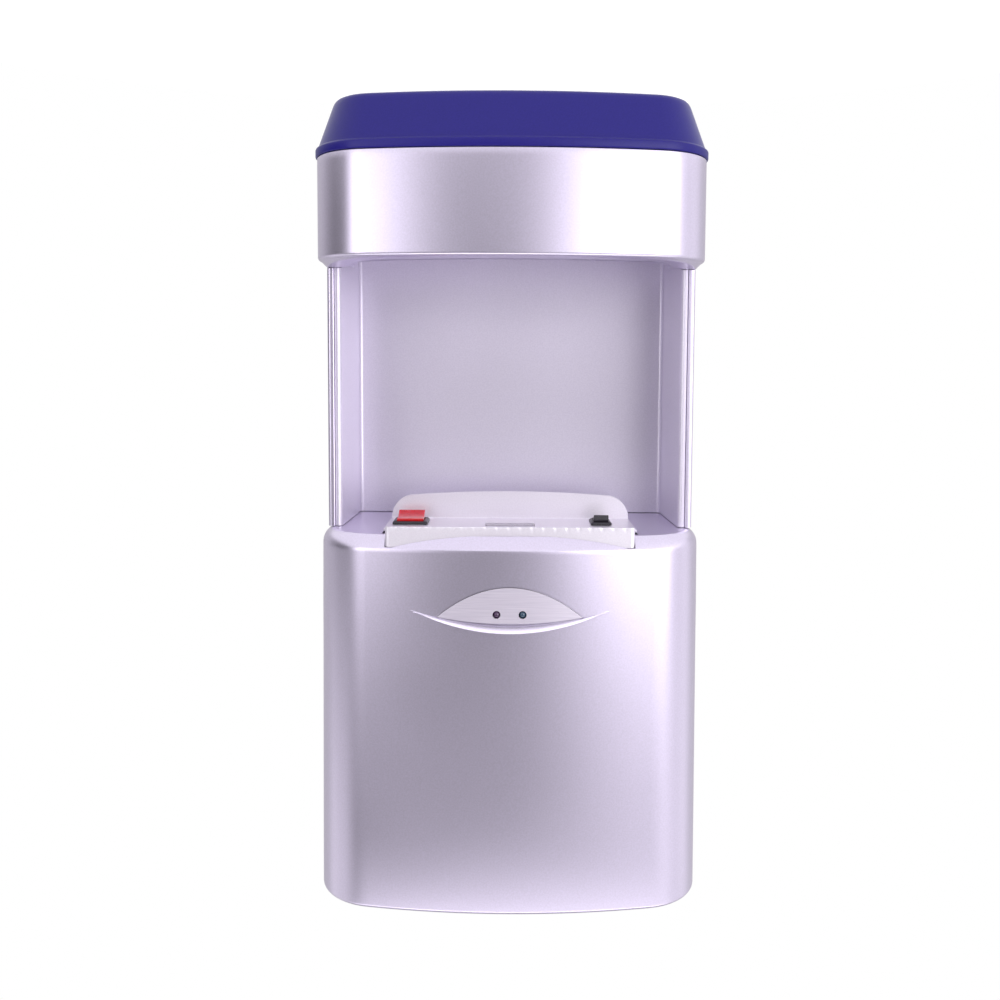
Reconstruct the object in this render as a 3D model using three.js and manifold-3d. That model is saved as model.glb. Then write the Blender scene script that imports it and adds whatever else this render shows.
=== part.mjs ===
// Wall-hung hand dryer with a drip tray below the hand space and a slide-out drain tank.
// Millimetres, +Z up. The front faces -Y and the wall is the plane Y = 0.
// Every height below is above the underside of the drain tank; the last group moves the
// whole dryer down, so that the origin is the centre of the wall bracket's back face.
import * as THREE from 'three';
import { mergeVertices } from 'three/addons/utils/BufferGeometryUtils.js';
import Module from 'manifold-3d';

const wasm = await Module();
wasm.setup();

// ---- Driving dimensions ----
const GAP = 0.3; // clearance between neighbouring pieces
const SKIN = 2.5; // moulded wall thickness
const BRACKET_HEIGHT = 330; // wall bracket's centre above the tank's underside
const WIDE_X = [-200, 200]; // wider than the whole dryer, for cutting right across it
const HEAD_SPAN = [300, 600]; // taller than the whole head
const PLATE_SPAN = [305, 320]; // cuts right through the control plate

// Plan shared by head, tray and tank: bowed front, round front corners, straight sides
const FRONT_Y = -165;
const BOW_RADIUS = 600;
const CORNER_RADIUS = 47;
const BACK_Y = -3.3; // back face of the chassis, just clear of the bracket's level

// Head
const HEAD_BOTTOM = 314.4;
const HEAD_CREASE = 323.5;
const HEAD_TOP = 592.3;
const HEAD_HALF = 143.3;
const HEAD_DRAFT = 1.8; // how much narrower each side is at the crease
const HEAD_BEVEL = 6; // how far the front runs in below the crease
const HEAD_SIDE_BEVEL = 10;
const HEAD_CROWN = 1.6; // how far the front leans back at its top
const HEAD_CHAMFER = 3;
const HEAD_JOINT_Y = -30; // parting line between head cover and chassis

// Columns and recess
const COLUMN_HALF = 137;
const COLUMN_FRONT_Y = -117;
const COLUMN_EDGE = 5.2; // width of the turned-in front edge
const COLUMN_FOOT = 121.3;
const CHASSIS_LOW = 50;
const PLATE_FRONT_Y = -6.3; // front face of the chassis back plate
const PANEL_Y = -42; // front face of the recess's back panel
const CHEEK_BACK_HALF = 124;
const CHEEK_FRONT_HALF = 128;
const CHEEK_THICK = 2;
const CHEEK_LIP = 1.5; // width of the lip beside the column's edge

// Nozzle bar, control plate and visor under the head
const NOZZLE_HALF = 89.5;
const NOZZLE_FRONT_Y = -158;
const NOZZLE_BACK_Y = -141;
const NOZZLE_LIP = 307.8;
// The nozzle bar's face ends at its brow; the neck behind it goes on up into the head.
const NOZZLE_BROW = 322.4;
const NOZZLE_NECK_Y = -152.5;
const NOZZLE_TOP = 330;
const FLUTE_TOP = 315.6;
const FLUTE_RADIUS = 9;
const FLUTE_DEPTH = 0.5;
const JET_COUNT = 21;
const JET_PITCH = 8.3;
const HATCH_HALF = 92.8; // half width of the opening in the head's underside
const HATCH_BACK_Y = -88.7;
const PLATE_LOW = 312;
const PLATE_THICK = 2;
const VISOR_HALF = 92;
const VISOR_CORNER = 15;
const VISOR_LOW = 290;
const VISOR_RISE = 4; // how much higher the visor's edge is at its corners

// Rocker switches and sensor, set in the control plate
const SWITCH_Y = -112;
const SWITCH_TOP = 328;
const ROCK_ANGLE = THREE.MathUtils.degToRad(30);
// lean: -1 rests with the rear half of the rocker down, +1 with the front half down
const POWER_SWITCH = {
  x: 75, bezelX: 13.2, bezelY: 11.4, cavityX: 10.3, cavityY: 9.5, pivot: 307.9, lean: -1,
};
const HEATER_SWITCH = {
  x: -68.5, bezelX: 7.8, bezelY: 11.4, cavityX: 5.9, cavityY: 9.5, pivot: 309, lean: 1,
};
const ROCKER_PROFILE = [[10.8, -3.1], [11.1, 1.6], [7.7, 6.4]]; // from the face's end up to the back
const ROCKER_REACH = 11.2; // reach that the profile is drawn for
const ROCKER_MIDDLE = -1.6; // height of the dished face's middle
const BEZEL_THICK = 2.2;
const BEZEL_LAP = 1; // how far the bezel laps over the plate
const SENSOR = { half: 18.5, front: -127.5, back: -114.5 };

// Indicator on the head's front
const LABEL_HALF = 52.5;
const LABEL_CORNER = 371.9;
const LABEL_HIGH = 376.6;
const LABEL_LOW = 349.6;
const LABEL_THICK = 1;
const BROW_HALF = 70;
const BROW_END = 367.8;
const BROW_PEAK = 383;
const BROW_PROUD = 1; // how far the brow stands out from the cover
const LED_X = 9.3;
const LED_HEIGHT = 369.5;
const LED_RADIUS = 2.5;
const LED_DEPTH = 8.3; // from the head's front to the lamp's back

// Tray and tank
const TRAY_HALF = 144;
const TRAY_LOW = 42;
const TRAY_RIM = 116.5;
const TRAY_DECK = 121;
const TRAY_BACK_Y = -7;
const TRAY_CEILING = 96.5;
const BASIN_HALF = 118;
const BASIN_FRONT_Y = -156;
const BASIN_CORNER = 30;
const BASIN_BACK = 104; // basin surface where it meets the back panel
const DRAIN = { y: -70, radius: 9, floor: 101, seat: 99.2 };
const TANK_PROUD = 1.2; // how far the tank's lip stands out from the tray
const TANK_TOP = 41.7;
const TANK_LIP = 35.6;
const TANK_BACK_Y = -8;
const RAIL_X = 117.5;
const RAIL_FOOT = 25.9;
const RAIL_FRONT_Y = -128;

// Blower, heater and duct inside the head
const FAN_HEIGHT = 495;
const SCROLL_START = 60;
const SCROLL_GROWTH = 24;
const SCROLL_BACK_Y = -74;
const SCROLL_FRONT_Y = -112;
const OUTLET_LEFT = -84;
const OUTLET_RIGHT = -34;
const OUTLET_LOW = 430;
const DUCT_SKIN = 2;
const HEATER_LOW = 370;
const MOTOR_RADIUS = 32;
const IMPELLER_RADIUS = 55;
const HUB_RADIUS = 10;
const EYE_RADIUS = 33; // air intake in the impeller's shroud
const CRADLE = { radius: 46, arms: 41, armRadius: 4.5, front: -60, back: -56 };
const SHAFT_RADIUS = 4;
const BLADES = 9;

// Fasteners, louvres and the cable entry
const COVER_SCREW_Y = -36;
const COVER_SCREW_Z = 345;
const TRAY_SCREW = { x: 100, z: 75 };
const LOUVRES = { count: 15, pitch: 11, height: 5, low: 400, y: [-25, -11] };
const BRACKET = { half: 100, reach: 150, thick: 2.5, holeX: 80, holeZ: 120, holeRadius: 3 };
const HOOK_X = 60;
const HOOK_HEIGHT = 428;
const HOOK_REACH = 10.5;
const GROMMET = { x: 124, z: 390, hole: 7 };
const PAD = { x: 110, z: 70, radius: 12, thick: 3 };
const FILTER = { x: [135, 139], y: [-26, -8], z: [395, 567] };

const ARC_STEPS = 7; // half the segments of each arc in a plan

// ---- Finishes ----
function finish(color, roughness, metalness = 0) {
  return new THREE.MeshStandardMaterial({ color, roughness, metalness });
}
const silver = () => finish(0xc4bdd0, 0.38, 0.45);
const glossSilver = () => finish(0xb9b0c9, 0.2, 0.5);
const grey = () => finish(0x8e8a96, 0.5);
const black = () => finish(0x17151b, 0.45);
const red = () => finish(0xc8101a, 0.3);
const blue = () => finish(0x3a3482, 0.42);
const steel = () => finish(0x9c9ca2, 0.35, 0.9);
const copper = () => finish(0xb87544, 0.4, 0.9);
const boardGreen = () => finish(0x1f5a38, 0.6);
const mica = () => finish(0xb39a6a, 0.7);

// ---- Solids ----
function solid(geometry) {
  const bare = geometry.clone();
  bare.deleteAttribute('normal');
  bare.deleteAttribute('uv');
  const merged = mergeVertices(bare, 1e-4);
  return new wasm.Manifold(new wasm.Mesh({
    numProp: 3,
    vertProperties: merged.attributes.position.array,
    triVerts: new Uint32Array(merged.index.array),
  }));
}

function surface(body) {
  const mesh = body.getMesh();
  const geometry = new THREE.BufferGeometry();
  const places = new Float32Array(mesh.vertProperties);
  geometry.setAttribute('position', new THREE.BufferAttribute(places, 3));
  geometry.setIndex(new THREE.BufferAttribute(new Uint32Array(mesh.triVerts), 1));
  geometry.computeVertexNormals();
  return geometry;
}

function box(x, y, z) {
  const geometry = new THREE.BoxGeometry(x[1] - x[0], y[1] - y[0], z[1] - z[0]);
  geometry.translate((x[0] + x[1]) / 2, (y[0] + y[1]) / 2, (z[0] + z[1]) / 2);
  return solid(geometry);
}

// Cylinder along X, Y or Z, from start to end on that axis, centred on the other two.
function rod(axis, radius, start, end, a, b, sides = 20) {
  const geometry = new THREE.CylinderGeometry(radius, radius, end - start, sides);
  const middle = (start + end) / 2;
  if (axis === 'x') {
    geometry.rotateZ(Math.PI / 2);
    geometry.translate(middle, a, b);
  }
  if (axis === 'y') {
    geometry.translate(a, middle, b);
  }
  if (axis === 'z') {
    geometry.rotateX(Math.PI / 2);
    geometry.translate(a, b, middle);
  }
  return solid(geometry);
}

function polygon(points) {
  return new THREE.Shape(points.map(([a, b]) => new THREE.Vector2(a, b)));
}

// Turns an extrusion so that its outline's axes lie along Y and Z, and its depth along X.
const YZ_TO_X = new THREE.Matrix4().makeBasis(
  new THREE.Vector3(0, 1, 0), new THREE.Vector3(0, 0, 1), new THREE.Vector3(1, 0, 0));

// Outline in the YZ plane, extruded along X.
function alongX(shape, x0, x1) {
  const depth = x1 - x0;
  const geometry = new THREE.ExtrudeGeometry(shape, { depth, bevelEnabled: false, curveSegments: 10 });
  geometry.applyMatrix4(YZ_TO_X);
  geometry.translate(x0, 0, 0);
  return solid(geometry);
}

// Outline in the XZ plane, extruded along Y.
function alongY(shape, y0, y1, curveSegments = 10) {
  const geometry = new THREE.ExtrudeGeometry(shape, { depth: y1 - y0, bevelEnabled: false, curveSegments });
  geometry.rotateX(Math.PI / 2);
  geometry.translate(0, y1, 0);
  return solid(geometry);
}

// Plan outline with a bowed front, round front corners and straight sides.
function bowedPlan(halfWidth, frontY, backY, bowRadius, cornerRadius) {
  const bowY = frontY + bowRadius;
  const cornerX = halfWidth - cornerRadius;
  const reach = bowRadius - cornerRadius;
  const cornerY = bowY - Math.sqrt(reach * reach - cornerX * cornerX);
  const turn = Math.atan2(cornerY - bowY, cornerX);
  const plan = new THREE.Shape();
  plan.moveTo(-halfWidth, backY);
  plan.lineTo(-halfWidth, cornerY);
  plan.absarc(-cornerX, cornerY, cornerRadius, Math.PI, Math.PI - turn, false);
  plan.absarc(0, bowY, bowRadius, Math.PI - turn, 2 * Math.PI + turn, false);
  plan.absarc(cornerX, cornerY, cornerRadius, 2 * Math.PI + turn, 2 * Math.PI, false);
  plan.lineTo(halfWidth, backY);
  return plan;
}

// Bowed body whose plan shrinks by level: each level is [height, side inset, front inset, back inset].
function bowedBody(size, offset, levels) {
  const half = size.half - offset;
  const front = size.front + offset;
  const plan = bowedPlan(half, front, size.back, BOW_RADIUS - offset, size.corner - offset);
  const count = levels.length - 1;
  const geometry = new THREE.ExtrudeGeometry(plan, {
    depth: count, steps: count, bevelEnabled: false, curveSegments: ARC_STEPS,
  });
  const position = geometry.attributes.position;
  for (let i = 0; i < position.count; i += 1) {
    const [height, side, ahead, behind] = levels[Math.round(position.getZ(i))];
    const depth = (position.getY(i) - front) / (size.back - front);
    const x = position.getX(i) * (half - side) / half;
    const y = front + ahead + depth * (size.back - behind - front - ahead);
    position.setXYZ(i, x, y, height);
  }
  return solid(geometry);
}

// Four-sided tube or block whose rectangle changes by level: [height, x0, x1, y0, y1].
function taper(levels) {
  const count = levels.length - 1;
  const square = polygon([[0, 0], [1, 0], [1, 1], [0, 1]]);
  const geometry = new THREE.ExtrudeGeometry(square, { depth: count, steps: count, bevelEnabled: false });
  const position = geometry.attributes.position;
  for (let i = 0; i < position.count; i += 1) {
    const [height, x0, x1, y0, y1] = levels[Math.round(position.getZ(i))];
    const x = x0 + position.getX(i) * (x1 - x0);
    const y = y0 + position.getY(i) * (y1 - y0);
    position.setXYZ(i, x, y, height);
  }
  return solid(geometry);
}

// Round wire through the given points.
function wire(points, radius, sides, steps) {
  const route = points.map(([x, y, z]) => new THREE.Vector3(x, y, z));
  const path = new THREE.CatmullRomCurve3(route);
  const ring = [];
  for (let i = 0; i < sides; i += 1) {
    const angle = 2 * Math.PI * i / sides;
    ring.push([radius * Math.cos(angle), radius * Math.sin(angle)]);
  }
  return new THREE.ExtrudeGeometry(polygon(ring), { steps, extrudePath: path, bevelEnabled: false });
}

const dryer = new THREE.Group();

function add(name, body, material) {
  const mesh = new THREE.Mesh(body.isBufferGeometry ? body : surface(body), material);
  mesh.name = name;
  dryer.add(mesh);
}

// ---- Head shell: shared outer form, cut at the parting line ----
const HEAD_SIZE = { half: HEAD_HALF, front: FRONT_Y, back: BACK_Y, corner: CORNER_RADIUS };

function headBody(offset) {
  const low = HEAD_DRAFT + HEAD_SIDE_BEVEL;
  const chamfer = HEAD_CHAMFER - offset * 0.4;
  return bowedBody(HEAD_SIZE, offset, [
    [HEAD_BOTTOM + offset, low, HEAD_BEVEL, 0],
    [HEAD_BOTTOM + 1.5 + offset, low - 5, HEAD_BEVEL - 1, 0],
    [HEAD_BOTTOM + 4.6 + offset * 0.6, low - 8.1, HEAD_BEVEL - 3.1, 0],
    [HEAD_CREASE, HEAD_DRAFT, 0, 0],
    [HEAD_TOP - 60, 0.4, 0, 0],
    [HEAD_TOP - 30, 0.2, HEAD_CROWN * 0.28, 0],
    [HEAD_TOP - HEAD_CHAMFER - offset * 0.4, 0, HEAD_CROWN, 0],
    [HEAD_TOP - offset, chamfer, HEAD_CROWN + chamfer, 0],
  ]);
}

// Lens-shaped outline in XZ: top and bottom arcs that meet in two sharp corners.
function lens(half, corner, high, low, grow = 0) {
  const outline = new THREE.Shape();
  outline.moveTo(-half - grow, corner);
  outline.quadraticCurveTo(0, 2 * (low - grow) - corner, half + grow, corner);
  outline.quadraticCurveTo(0, 2 * (high + grow) - corner, -half - grow, corner);
  return outline;
}

// Raised eyelid over the label, moulded with the cover.
function brow() {
  const ridge = new THREE.Shape();
  ridge.moveTo(-BROW_HALF, BROW_END);
  ridge.quadraticCurveTo(0, 2 * (LABEL_HIGH + GAP + 1.2) - BROW_END, BROW_HALF, BROW_END);
  ridge.quadraticCurveTo(0, 2 * BROW_PEAK - BROW_END, -BROW_HALF, BROW_END);
  const proud = bowedBody(HEAD_SIZE, -BROW_PROUD, [[HEAD_CREASE, HEAD_DRAFT, 0, 0], [HEAD_TOP, 0, 0, 0]]);
  return alongY(ridge, FRONT_Y - 5, FRONT_Y + 12).intersect(proud);
}

// Lens-shaped block that reaches from in front of the head to a depth below its skin.
function lensBlock(grow, depth) {
  const outline = lens(LABEL_HALF, LABEL_CORNER, LABEL_HIGH, LABEL_LOW, grow);
  return alongY(outline, FRONT_Y - 3, FRONT_Y + 12).subtract(headBody(depth));
}

function ledHole(side) {
  return rod('y', LED_RADIUS + GAP, FRONT_Y - 5, FRONT_Y + 8, side * LED_X, LED_HEIGHT, 12);
}

function headCover() {
  const ahead = box(WIDE_X, [-200, HEAD_JOINT_Y], HEAD_SPAN);
  const notchX = [-NOZZLE_HALF - GAP, NOZZLE_HALF + GAP];
  const notch = box(notchX, [NOZZLE_FRONT_Y - GAP, -140], [300, NOZZLE_BROW + GAP]);
  const hatch = box([-HATCH_HALF, HATCH_HALF], [-148, HATCH_BACK_Y], [300, HEAD_BOTTOM + SKIN + 1]);
  let cover = headBody(0).intersect(ahead).add(brow());
  cover = cover.subtract(headBody(SKIN)).subtract(notch).subtract(hatch);
  cover = cover.subtract(lensBlock(GAP, LABEL_THICK + GAP));
  for (const side of [-1, 1]) {
    cover = cover.subtract(ledHole(side));
    cover = cover.subtract(coverScrew(side, 0.4));
  }
  return cover;
}

// Countersunk screw that holds the cover's side to the chassis.
function coverScrew(side, grow) {
  const outer = HEAD_HALF - HEAD_DRAFT;
  const ends = (near, far) => (side > 0 ? [near, far] : [-far, -near]);
  const [h0, h1] = ends(outer - 0.9 - grow, outer - 0.2 + 10 * grow);
  const [s0, s1] = ends(outer - 9.5, outer - 0.8);
  const head = rod('x', 4 + grow, h0, h1, COVER_SCREW_Y, COVER_SCREW_Z, 16);
  return head.add(rod('x', 1.9 + grow, s0, s1, COVER_SCREW_Y, COVER_SCREW_Z, 12));
}

// ---- Chassis: back plate, two columns and the rear rim of the head ----
function headRim() {
  const behind = box(WIDE_X, [HEAD_JOINT_Y + GAP, BACK_Y + 1], HEAD_SPAN);
  const hollow = box(WIDE_X, [-60, PLATE_FRONT_Y], HEAD_SPAN);
  const rim = headBody(0).intersect(behind).subtract(headBody(SKIN).intersect(hollow));
  const lining = headBody(SKIN + 2.4);
  const tongue = headBody(SKIN + 0.4).subtract(lining);
  const shoulder = headBody(SKIN / 2).subtract(lining);
  const tongueZ = [HEAD_CREASE + 6.5, HEAD_SPAN[1]];
  const tongueSpan = box(WIDE_X, [HEAD_JOINT_Y - 12, HEAD_JOINT_Y + 3], tongueZ);
  const shoulderSpan = box(WIDE_X, [HEAD_JOINT_Y + 1, HEAD_JOINT_Y + 3], tongueZ);
  return rim.add(tongue.intersect(tongueSpan)).add(shoulder.intersect(shoulderSpan));
}

function column(side) {
  const ends = (near, far) => (side > 0 ? [near, far] : [-far, -near]);
  const wall = ends(COLUMN_HALF - SKIN, COLUMN_HALF);
  const outer = box(wall, [COLUMN_FRONT_Y, PLATE_FRONT_Y + 1], [COLUMN_FOOT, HEAD_BOTTOM - GAP]);
  const root = box(wall, [HEAD_JOINT_Y + GAP, PLATE_FRONT_Y + 1], [COLUMN_FOOT, HEAD_BOTTOM + 1]);
  const edgeX = ends(COLUMN_HALF - COLUMN_EDGE, COLUMN_HALF);
  const edge = box(edgeX, [COLUMN_FRONT_Y, COLUMN_FRONT_Y + 3], [COLUMN_FOOT, HEAD_BOTTOM - GAP]);
  return outer.add(root).add(edge);
}

function rearChassis() {
  const back = box([-COLUMN_HALF, COLUMN_HALF], [PLATE_FRONT_Y, BACK_Y], [CHASSIS_LOW, HEAD_BOTTOM + 1]);
  let chassis = headRim().add(back).add(column(-1)).add(column(1));
  for (const side of [-1, 1]) {
    for (let i = 0; i < LOUVRES.count; i += 1) {
      const z = LOUVRES.low + i * LOUVRES.pitch;
      const x = side > 0 ? [130, 150] : [-150, -130];
      chassis = chassis.subtract(box(x, LOUVRES.y, [z, z + LOUVRES.height]));
    }
    const slotX = [side * HOOK_X - 17, side * HOOK_X + 17];
    chassis = chassis.subtract(box(slotX, [-8, 0], [HOOK_HEIGHT - 20, HOOK_HEIGHT + GAP]));
    chassis = chassis.subtract(coverScrew(side, 0.4));
    chassis = chassis.subtract(rod('y', 2.2, -8, 0, side * TRAY_SCREW.x, TRAY_SCREW.z, 12));
  }
  return chassis.subtract(rod('y', GROMMET.hole, -8, 0, GROMMET.x, GROMMET.z, 20));
}

// U-shaped liner of the hand space: back panel and two cheeks that open towards the front.
function recessLiner() {
  const tipX = CHEEK_FRONT_HALF + CHEEK_THICK;
  const right = [
    [CHEEK_BACK_HALF, PANEL_Y], [CHEEK_FRONT_HALF, COLUMN_FRONT_Y], [tipX, COLUMN_FRONT_Y],
    [tipX, COLUMN_FRONT_Y + 1.2], [tipX + CHEEK_LIP, COLUMN_FRONT_Y + 1.2],
    [tipX + CHEEK_LIP, COLUMN_FRONT_Y + 2.7], [tipX, COLUMN_FRONT_Y + 2.7],
    [CHEEK_BACK_HALF + CHEEK_THICK, PANEL_Y + SKIN],
  ];
  const left = right.map(([x, y]) => [-x, y]).reverse();
  const shape = polygon([...right, ...left]);
  const geometry = new THREE.ExtrudeGeometry(shape, { depth: 220, bevelEnabled: false });
  geometry.translate(0, 0, 94);
  const below = alongX(polygon([
    [-130, 80], [-20, 80], [-20, BASIN_BACK + GAP], [PANEL_Y, BASIN_BACK + GAP],
    [COLUMN_FRONT_Y, TRAY_DECK + GAP], [-130, TRAY_DECK + GAP],
  ]), -150, 150);
  return solid(geometry).subtract(below);
}

// ---- Under the head ----
// Straight bar whose front face is fluted above a row of air jets.
function nozzleBar() {
  const round = 3;
  const plan = new THREE.Shape();
  plan.moveTo(-NOZZLE_HALF, NOZZLE_BACK_Y);
  plan.lineTo(-NOZZLE_HALF, NOZZLE_FRONT_Y + round);
  plan.absarc(-NOZZLE_HALF + round, NOZZLE_FRONT_Y + round, round, Math.PI, 1.5 * Math.PI, false);
  plan.absarc(NOZZLE_HALF - round, NOZZLE_FRONT_Y + round, round, 1.5 * Math.PI, 2 * Math.PI, false);
  plan.lineTo(NOZZLE_HALF, NOZZLE_BACK_Y);
  const height = NOZZLE_BROW - NOZZLE_LIP;
  const geometry = new THREE.ExtrudeGeometry(plan, { depth: height, bevelEnabled: false, curveSegments: 3 });
  geometry.translate(0, 0, NOZZLE_LIP);
  const neckX = [-NOZZLE_HALF, NOZZLE_HALF];
  const neck = box(neckX, [NOZZLE_NECK_Y, NOZZLE_BACK_Y], [NOZZLE_BROW - 1, NOZZLE_TOP]);
  const slope = alongX(polygon([
    [NOZZLE_FRONT_Y + 2, NOZZLE_LIP - 1], [NOZZLE_BACK_Y + 1, NOZZLE_LIP - 1],
    [NOZZLE_BACK_Y + 1, PLATE_LOW + 0.3], [NOZZLE_FRONT_Y + 2, NOZZLE_LIP],
  ]), -100, 100);
  const insideX = [-NOZZLE_HALF + 2, NOZZLE_HALF - 2];
  const plenum = box(insideX, [NOZZLE_NECK_Y + 2, NOZZLE_BACK_Y - 2], [PLATE_LOW + 2, NOZZLE_TOP + 1]);
  let bar = solid(geometry).add(neck).subtract(slope).subtract(plenum);
  const fluteY = NOZZLE_FRONT_Y + FLUTE_DEPTH - FLUTE_RADIUS;
  for (let i = 0; i < JET_COUNT; i += 1) {
    const x = (i - (JET_COUNT - 1) / 2) * JET_PITCH;
    bar = bar.subtract(box([x - 2.6, x + 2.6], [NOZZLE_NECK_Y + 2, NOZZLE_BACK_Y - 2.5], [300, 316]));
    bar = bar.subtract(rod('z', FLUTE_RADIUS, NOZZLE_LIP - 1, FLUTE_TOP, x, fluteY, 40));
  }
  return bar;
}

// Flat plate that carries the switches, folded down at the back into a visor.
function controlPlate() {
  const plateX = [-HATCH_HALF + GAP, HATCH_HALF - GAP];
  const plateY = [NOZZLE_BACK_Y + GAP, HATCH_BACK_Y - GAP];
  const plate = box(plateX, plateY, [PLATE_LOW, PLATE_LOW + PLATE_THICK]);
  const edge = VISOR_HALF - VISOR_CORNER;
  const cornerZ = VISOR_LOW + VISOR_RISE + VISOR_CORNER;
  const visor = new THREE.Shape();
  visor.moveTo(-VISOR_HALF, PLATE_LOW + 1);
  visor.lineTo(-VISOR_HALF, cornerZ);
  visor.absarc(-edge, cornerZ, VISOR_CORNER, Math.PI, 1.45 * Math.PI, false);
  visor.quadraticCurveTo(0, VISOR_LOW - VISOR_RISE + 1, edge - VISOR_CORNER * Math.sin(-0.05 * Math.PI),
    cornerZ - VISOR_CORNER * Math.cos(0.05 * Math.PI));
  visor.absarc(edge, cornerZ, VISOR_CORNER, 1.55 * Math.PI, 2 * Math.PI, false);
  visor.lineTo(VISOR_HALF, PLATE_LOW + 1);
  let body = plate.add(alongY(visor, HATCH_BACK_Y - GAP - PLATE_THICK, HATCH_BACK_Y - GAP, 5));
  for (const size of [POWER_SWITCH, HEATER_SWITCH]) {
    const x = [size.x - size.bezelX + BEZEL_LAP, size.x + size.bezelX - BEZEL_LAP];
    const y = [SWITCH_Y - size.bezelY + BEZEL_LAP, SWITCH_Y + size.bezelY - BEZEL_LAP];
    body = body.subtract(box(x, y, PLATE_SPAN));
  }
  return body.subtract(box([-SENSOR.half, SENSOR.half], [SENSOR.front, SENSOR.back], PLATE_SPAN));
}

function switchBody(size) {
  const bezelHigh = PLATE_LOW - GAP;
  const bezelX = [size.x - size.bezelX, size.x + size.bezelX];
  const bezelY = [SWITCH_Y - size.bezelY, SWITCH_Y + size.bezelY];
  const inset = BEZEL_LAP + GAP;
  const bodyX = [bezelX[0] + inset, bezelX[1] - inset];
  const bodyY = [bezelY[0] + inset, bezelY[1] - inset];
  const cavityX = [size.x - size.cavityX, size.x + size.cavityX];
  const cavityY = [SWITCH_Y - size.cavityY, SWITCH_Y + size.cavityY];
  const bezel = box(bezelX, bezelY, [bezelHigh - BEZEL_THICK, bezelHigh]);
  const cup = box(bodyX, bodyY, [bezelHigh - 0.5, SWITCH_TOP]);
  let body = bezel.add(cup).subtract(box(cavityX, cavityY, [300, SWITCH_TOP - 4]));
  for (const y of [-5, 0, 5]) {
    const blade = box([size.x - 2.4, size.x + 2.4], [SWITCH_Y + y - 0.4, SWITCH_Y + y + 0.4],
      [SWITCH_TOP - 1, SWITCH_TOP + 1.8]);
    body = body.add(blade);
  }
  return body;
}

// Rocker at rest against one of its two stops; rotation about +X presses the rear half in.
function rocker(size) {
  const scale = (size.cavityY - 0.6) / ROCKER_REACH;
  const outline = ROCKER_PROFILE.map(([a, b]) => [a * scale, b * scale]);
  const mirrored = ROCKER_PROFILE.map(([a, b]) => [-a * scale, b * scale]).reverse();
  const shape = polygon([[0, ROCKER_MIDDLE * scale], ...outline, ...mirrored]);
  const depth = 2 * size.cavityX - 0.8;
  const geometry = new THREE.ExtrudeGeometry(shape, { depth, bevelEnabled: false });
  geometry.applyMatrix4(YZ_TO_X);
  geometry.translate(-size.cavityX + 0.4, 0, 0);
  geometry.rotateX((size.lean * ROCK_ANGLE) / 2);
  geometry.translate(size.x, SWITCH_Y, size.pivot);
  return solid(geometry);
}

function sensorWindow() {
  const x = [-SENSOR.half + GAP, SENSOR.half - GAP];
  return box(x, [SENSOR.front + GAP, SENSOR.back - GAP], [PLATE_LOW - 0.4, PLATE_LOW + PLATE_THICK]);
}

function sensorModule() {
  const low = PLATE_LOW + PLATE_THICK + GAP;
  let body = box([-24, 24], [SENSOR.front - 2, SENSOR.back + 2], [low, low + 10]);
  for (const side of [-1, 1]) {
    body = body.subtract(rod('z', 4, low - 1, low + 6, side * 10, (SENSOR.front + SENSOR.back) / 2, 16));
  }
  return body;
}

// ---- Indicator ----
function indicatorLabel() {
  let label = lensBlock(0, LABEL_THICK).intersect(headBody(0));
  for (const side of [-1, 1]) {
    label = label.subtract(ledHole(side));
  }
  return label;
}

function ledLamp(x) {
  const dome = [
    [0, 0], [LED_RADIUS, 0], [LED_RADIUS, 6.2], [LED_RADIUS * 0.87, 7.4],
    [LED_RADIUS * 0.5, 8.3], [0, 8.6],
  ];
  const geometry = new THREE.LatheGeometry(dome.map(([r, h]) => new THREE.Vector2(r, h)), 14);
  geometry.rotateX(Math.PI);
  geometry.translate(x, FRONT_Y + LED_DEPTH, LED_HEIGHT);
  return solid(geometry);
}

function indicatorBoard() {
  const front = FRONT_Y + LED_DEPTH + GAP;
  return box([-26, 26], [front, front + 1.6], [LED_HEIGHT - 9, LED_HEIGHT + 9]);
}

// ---- Tray ----
const TRAY_SIZE = { half: TRAY_HALF, front: FRONT_Y, back: TRAY_BACK_Y, corner: CORNER_RADIUS };

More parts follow.
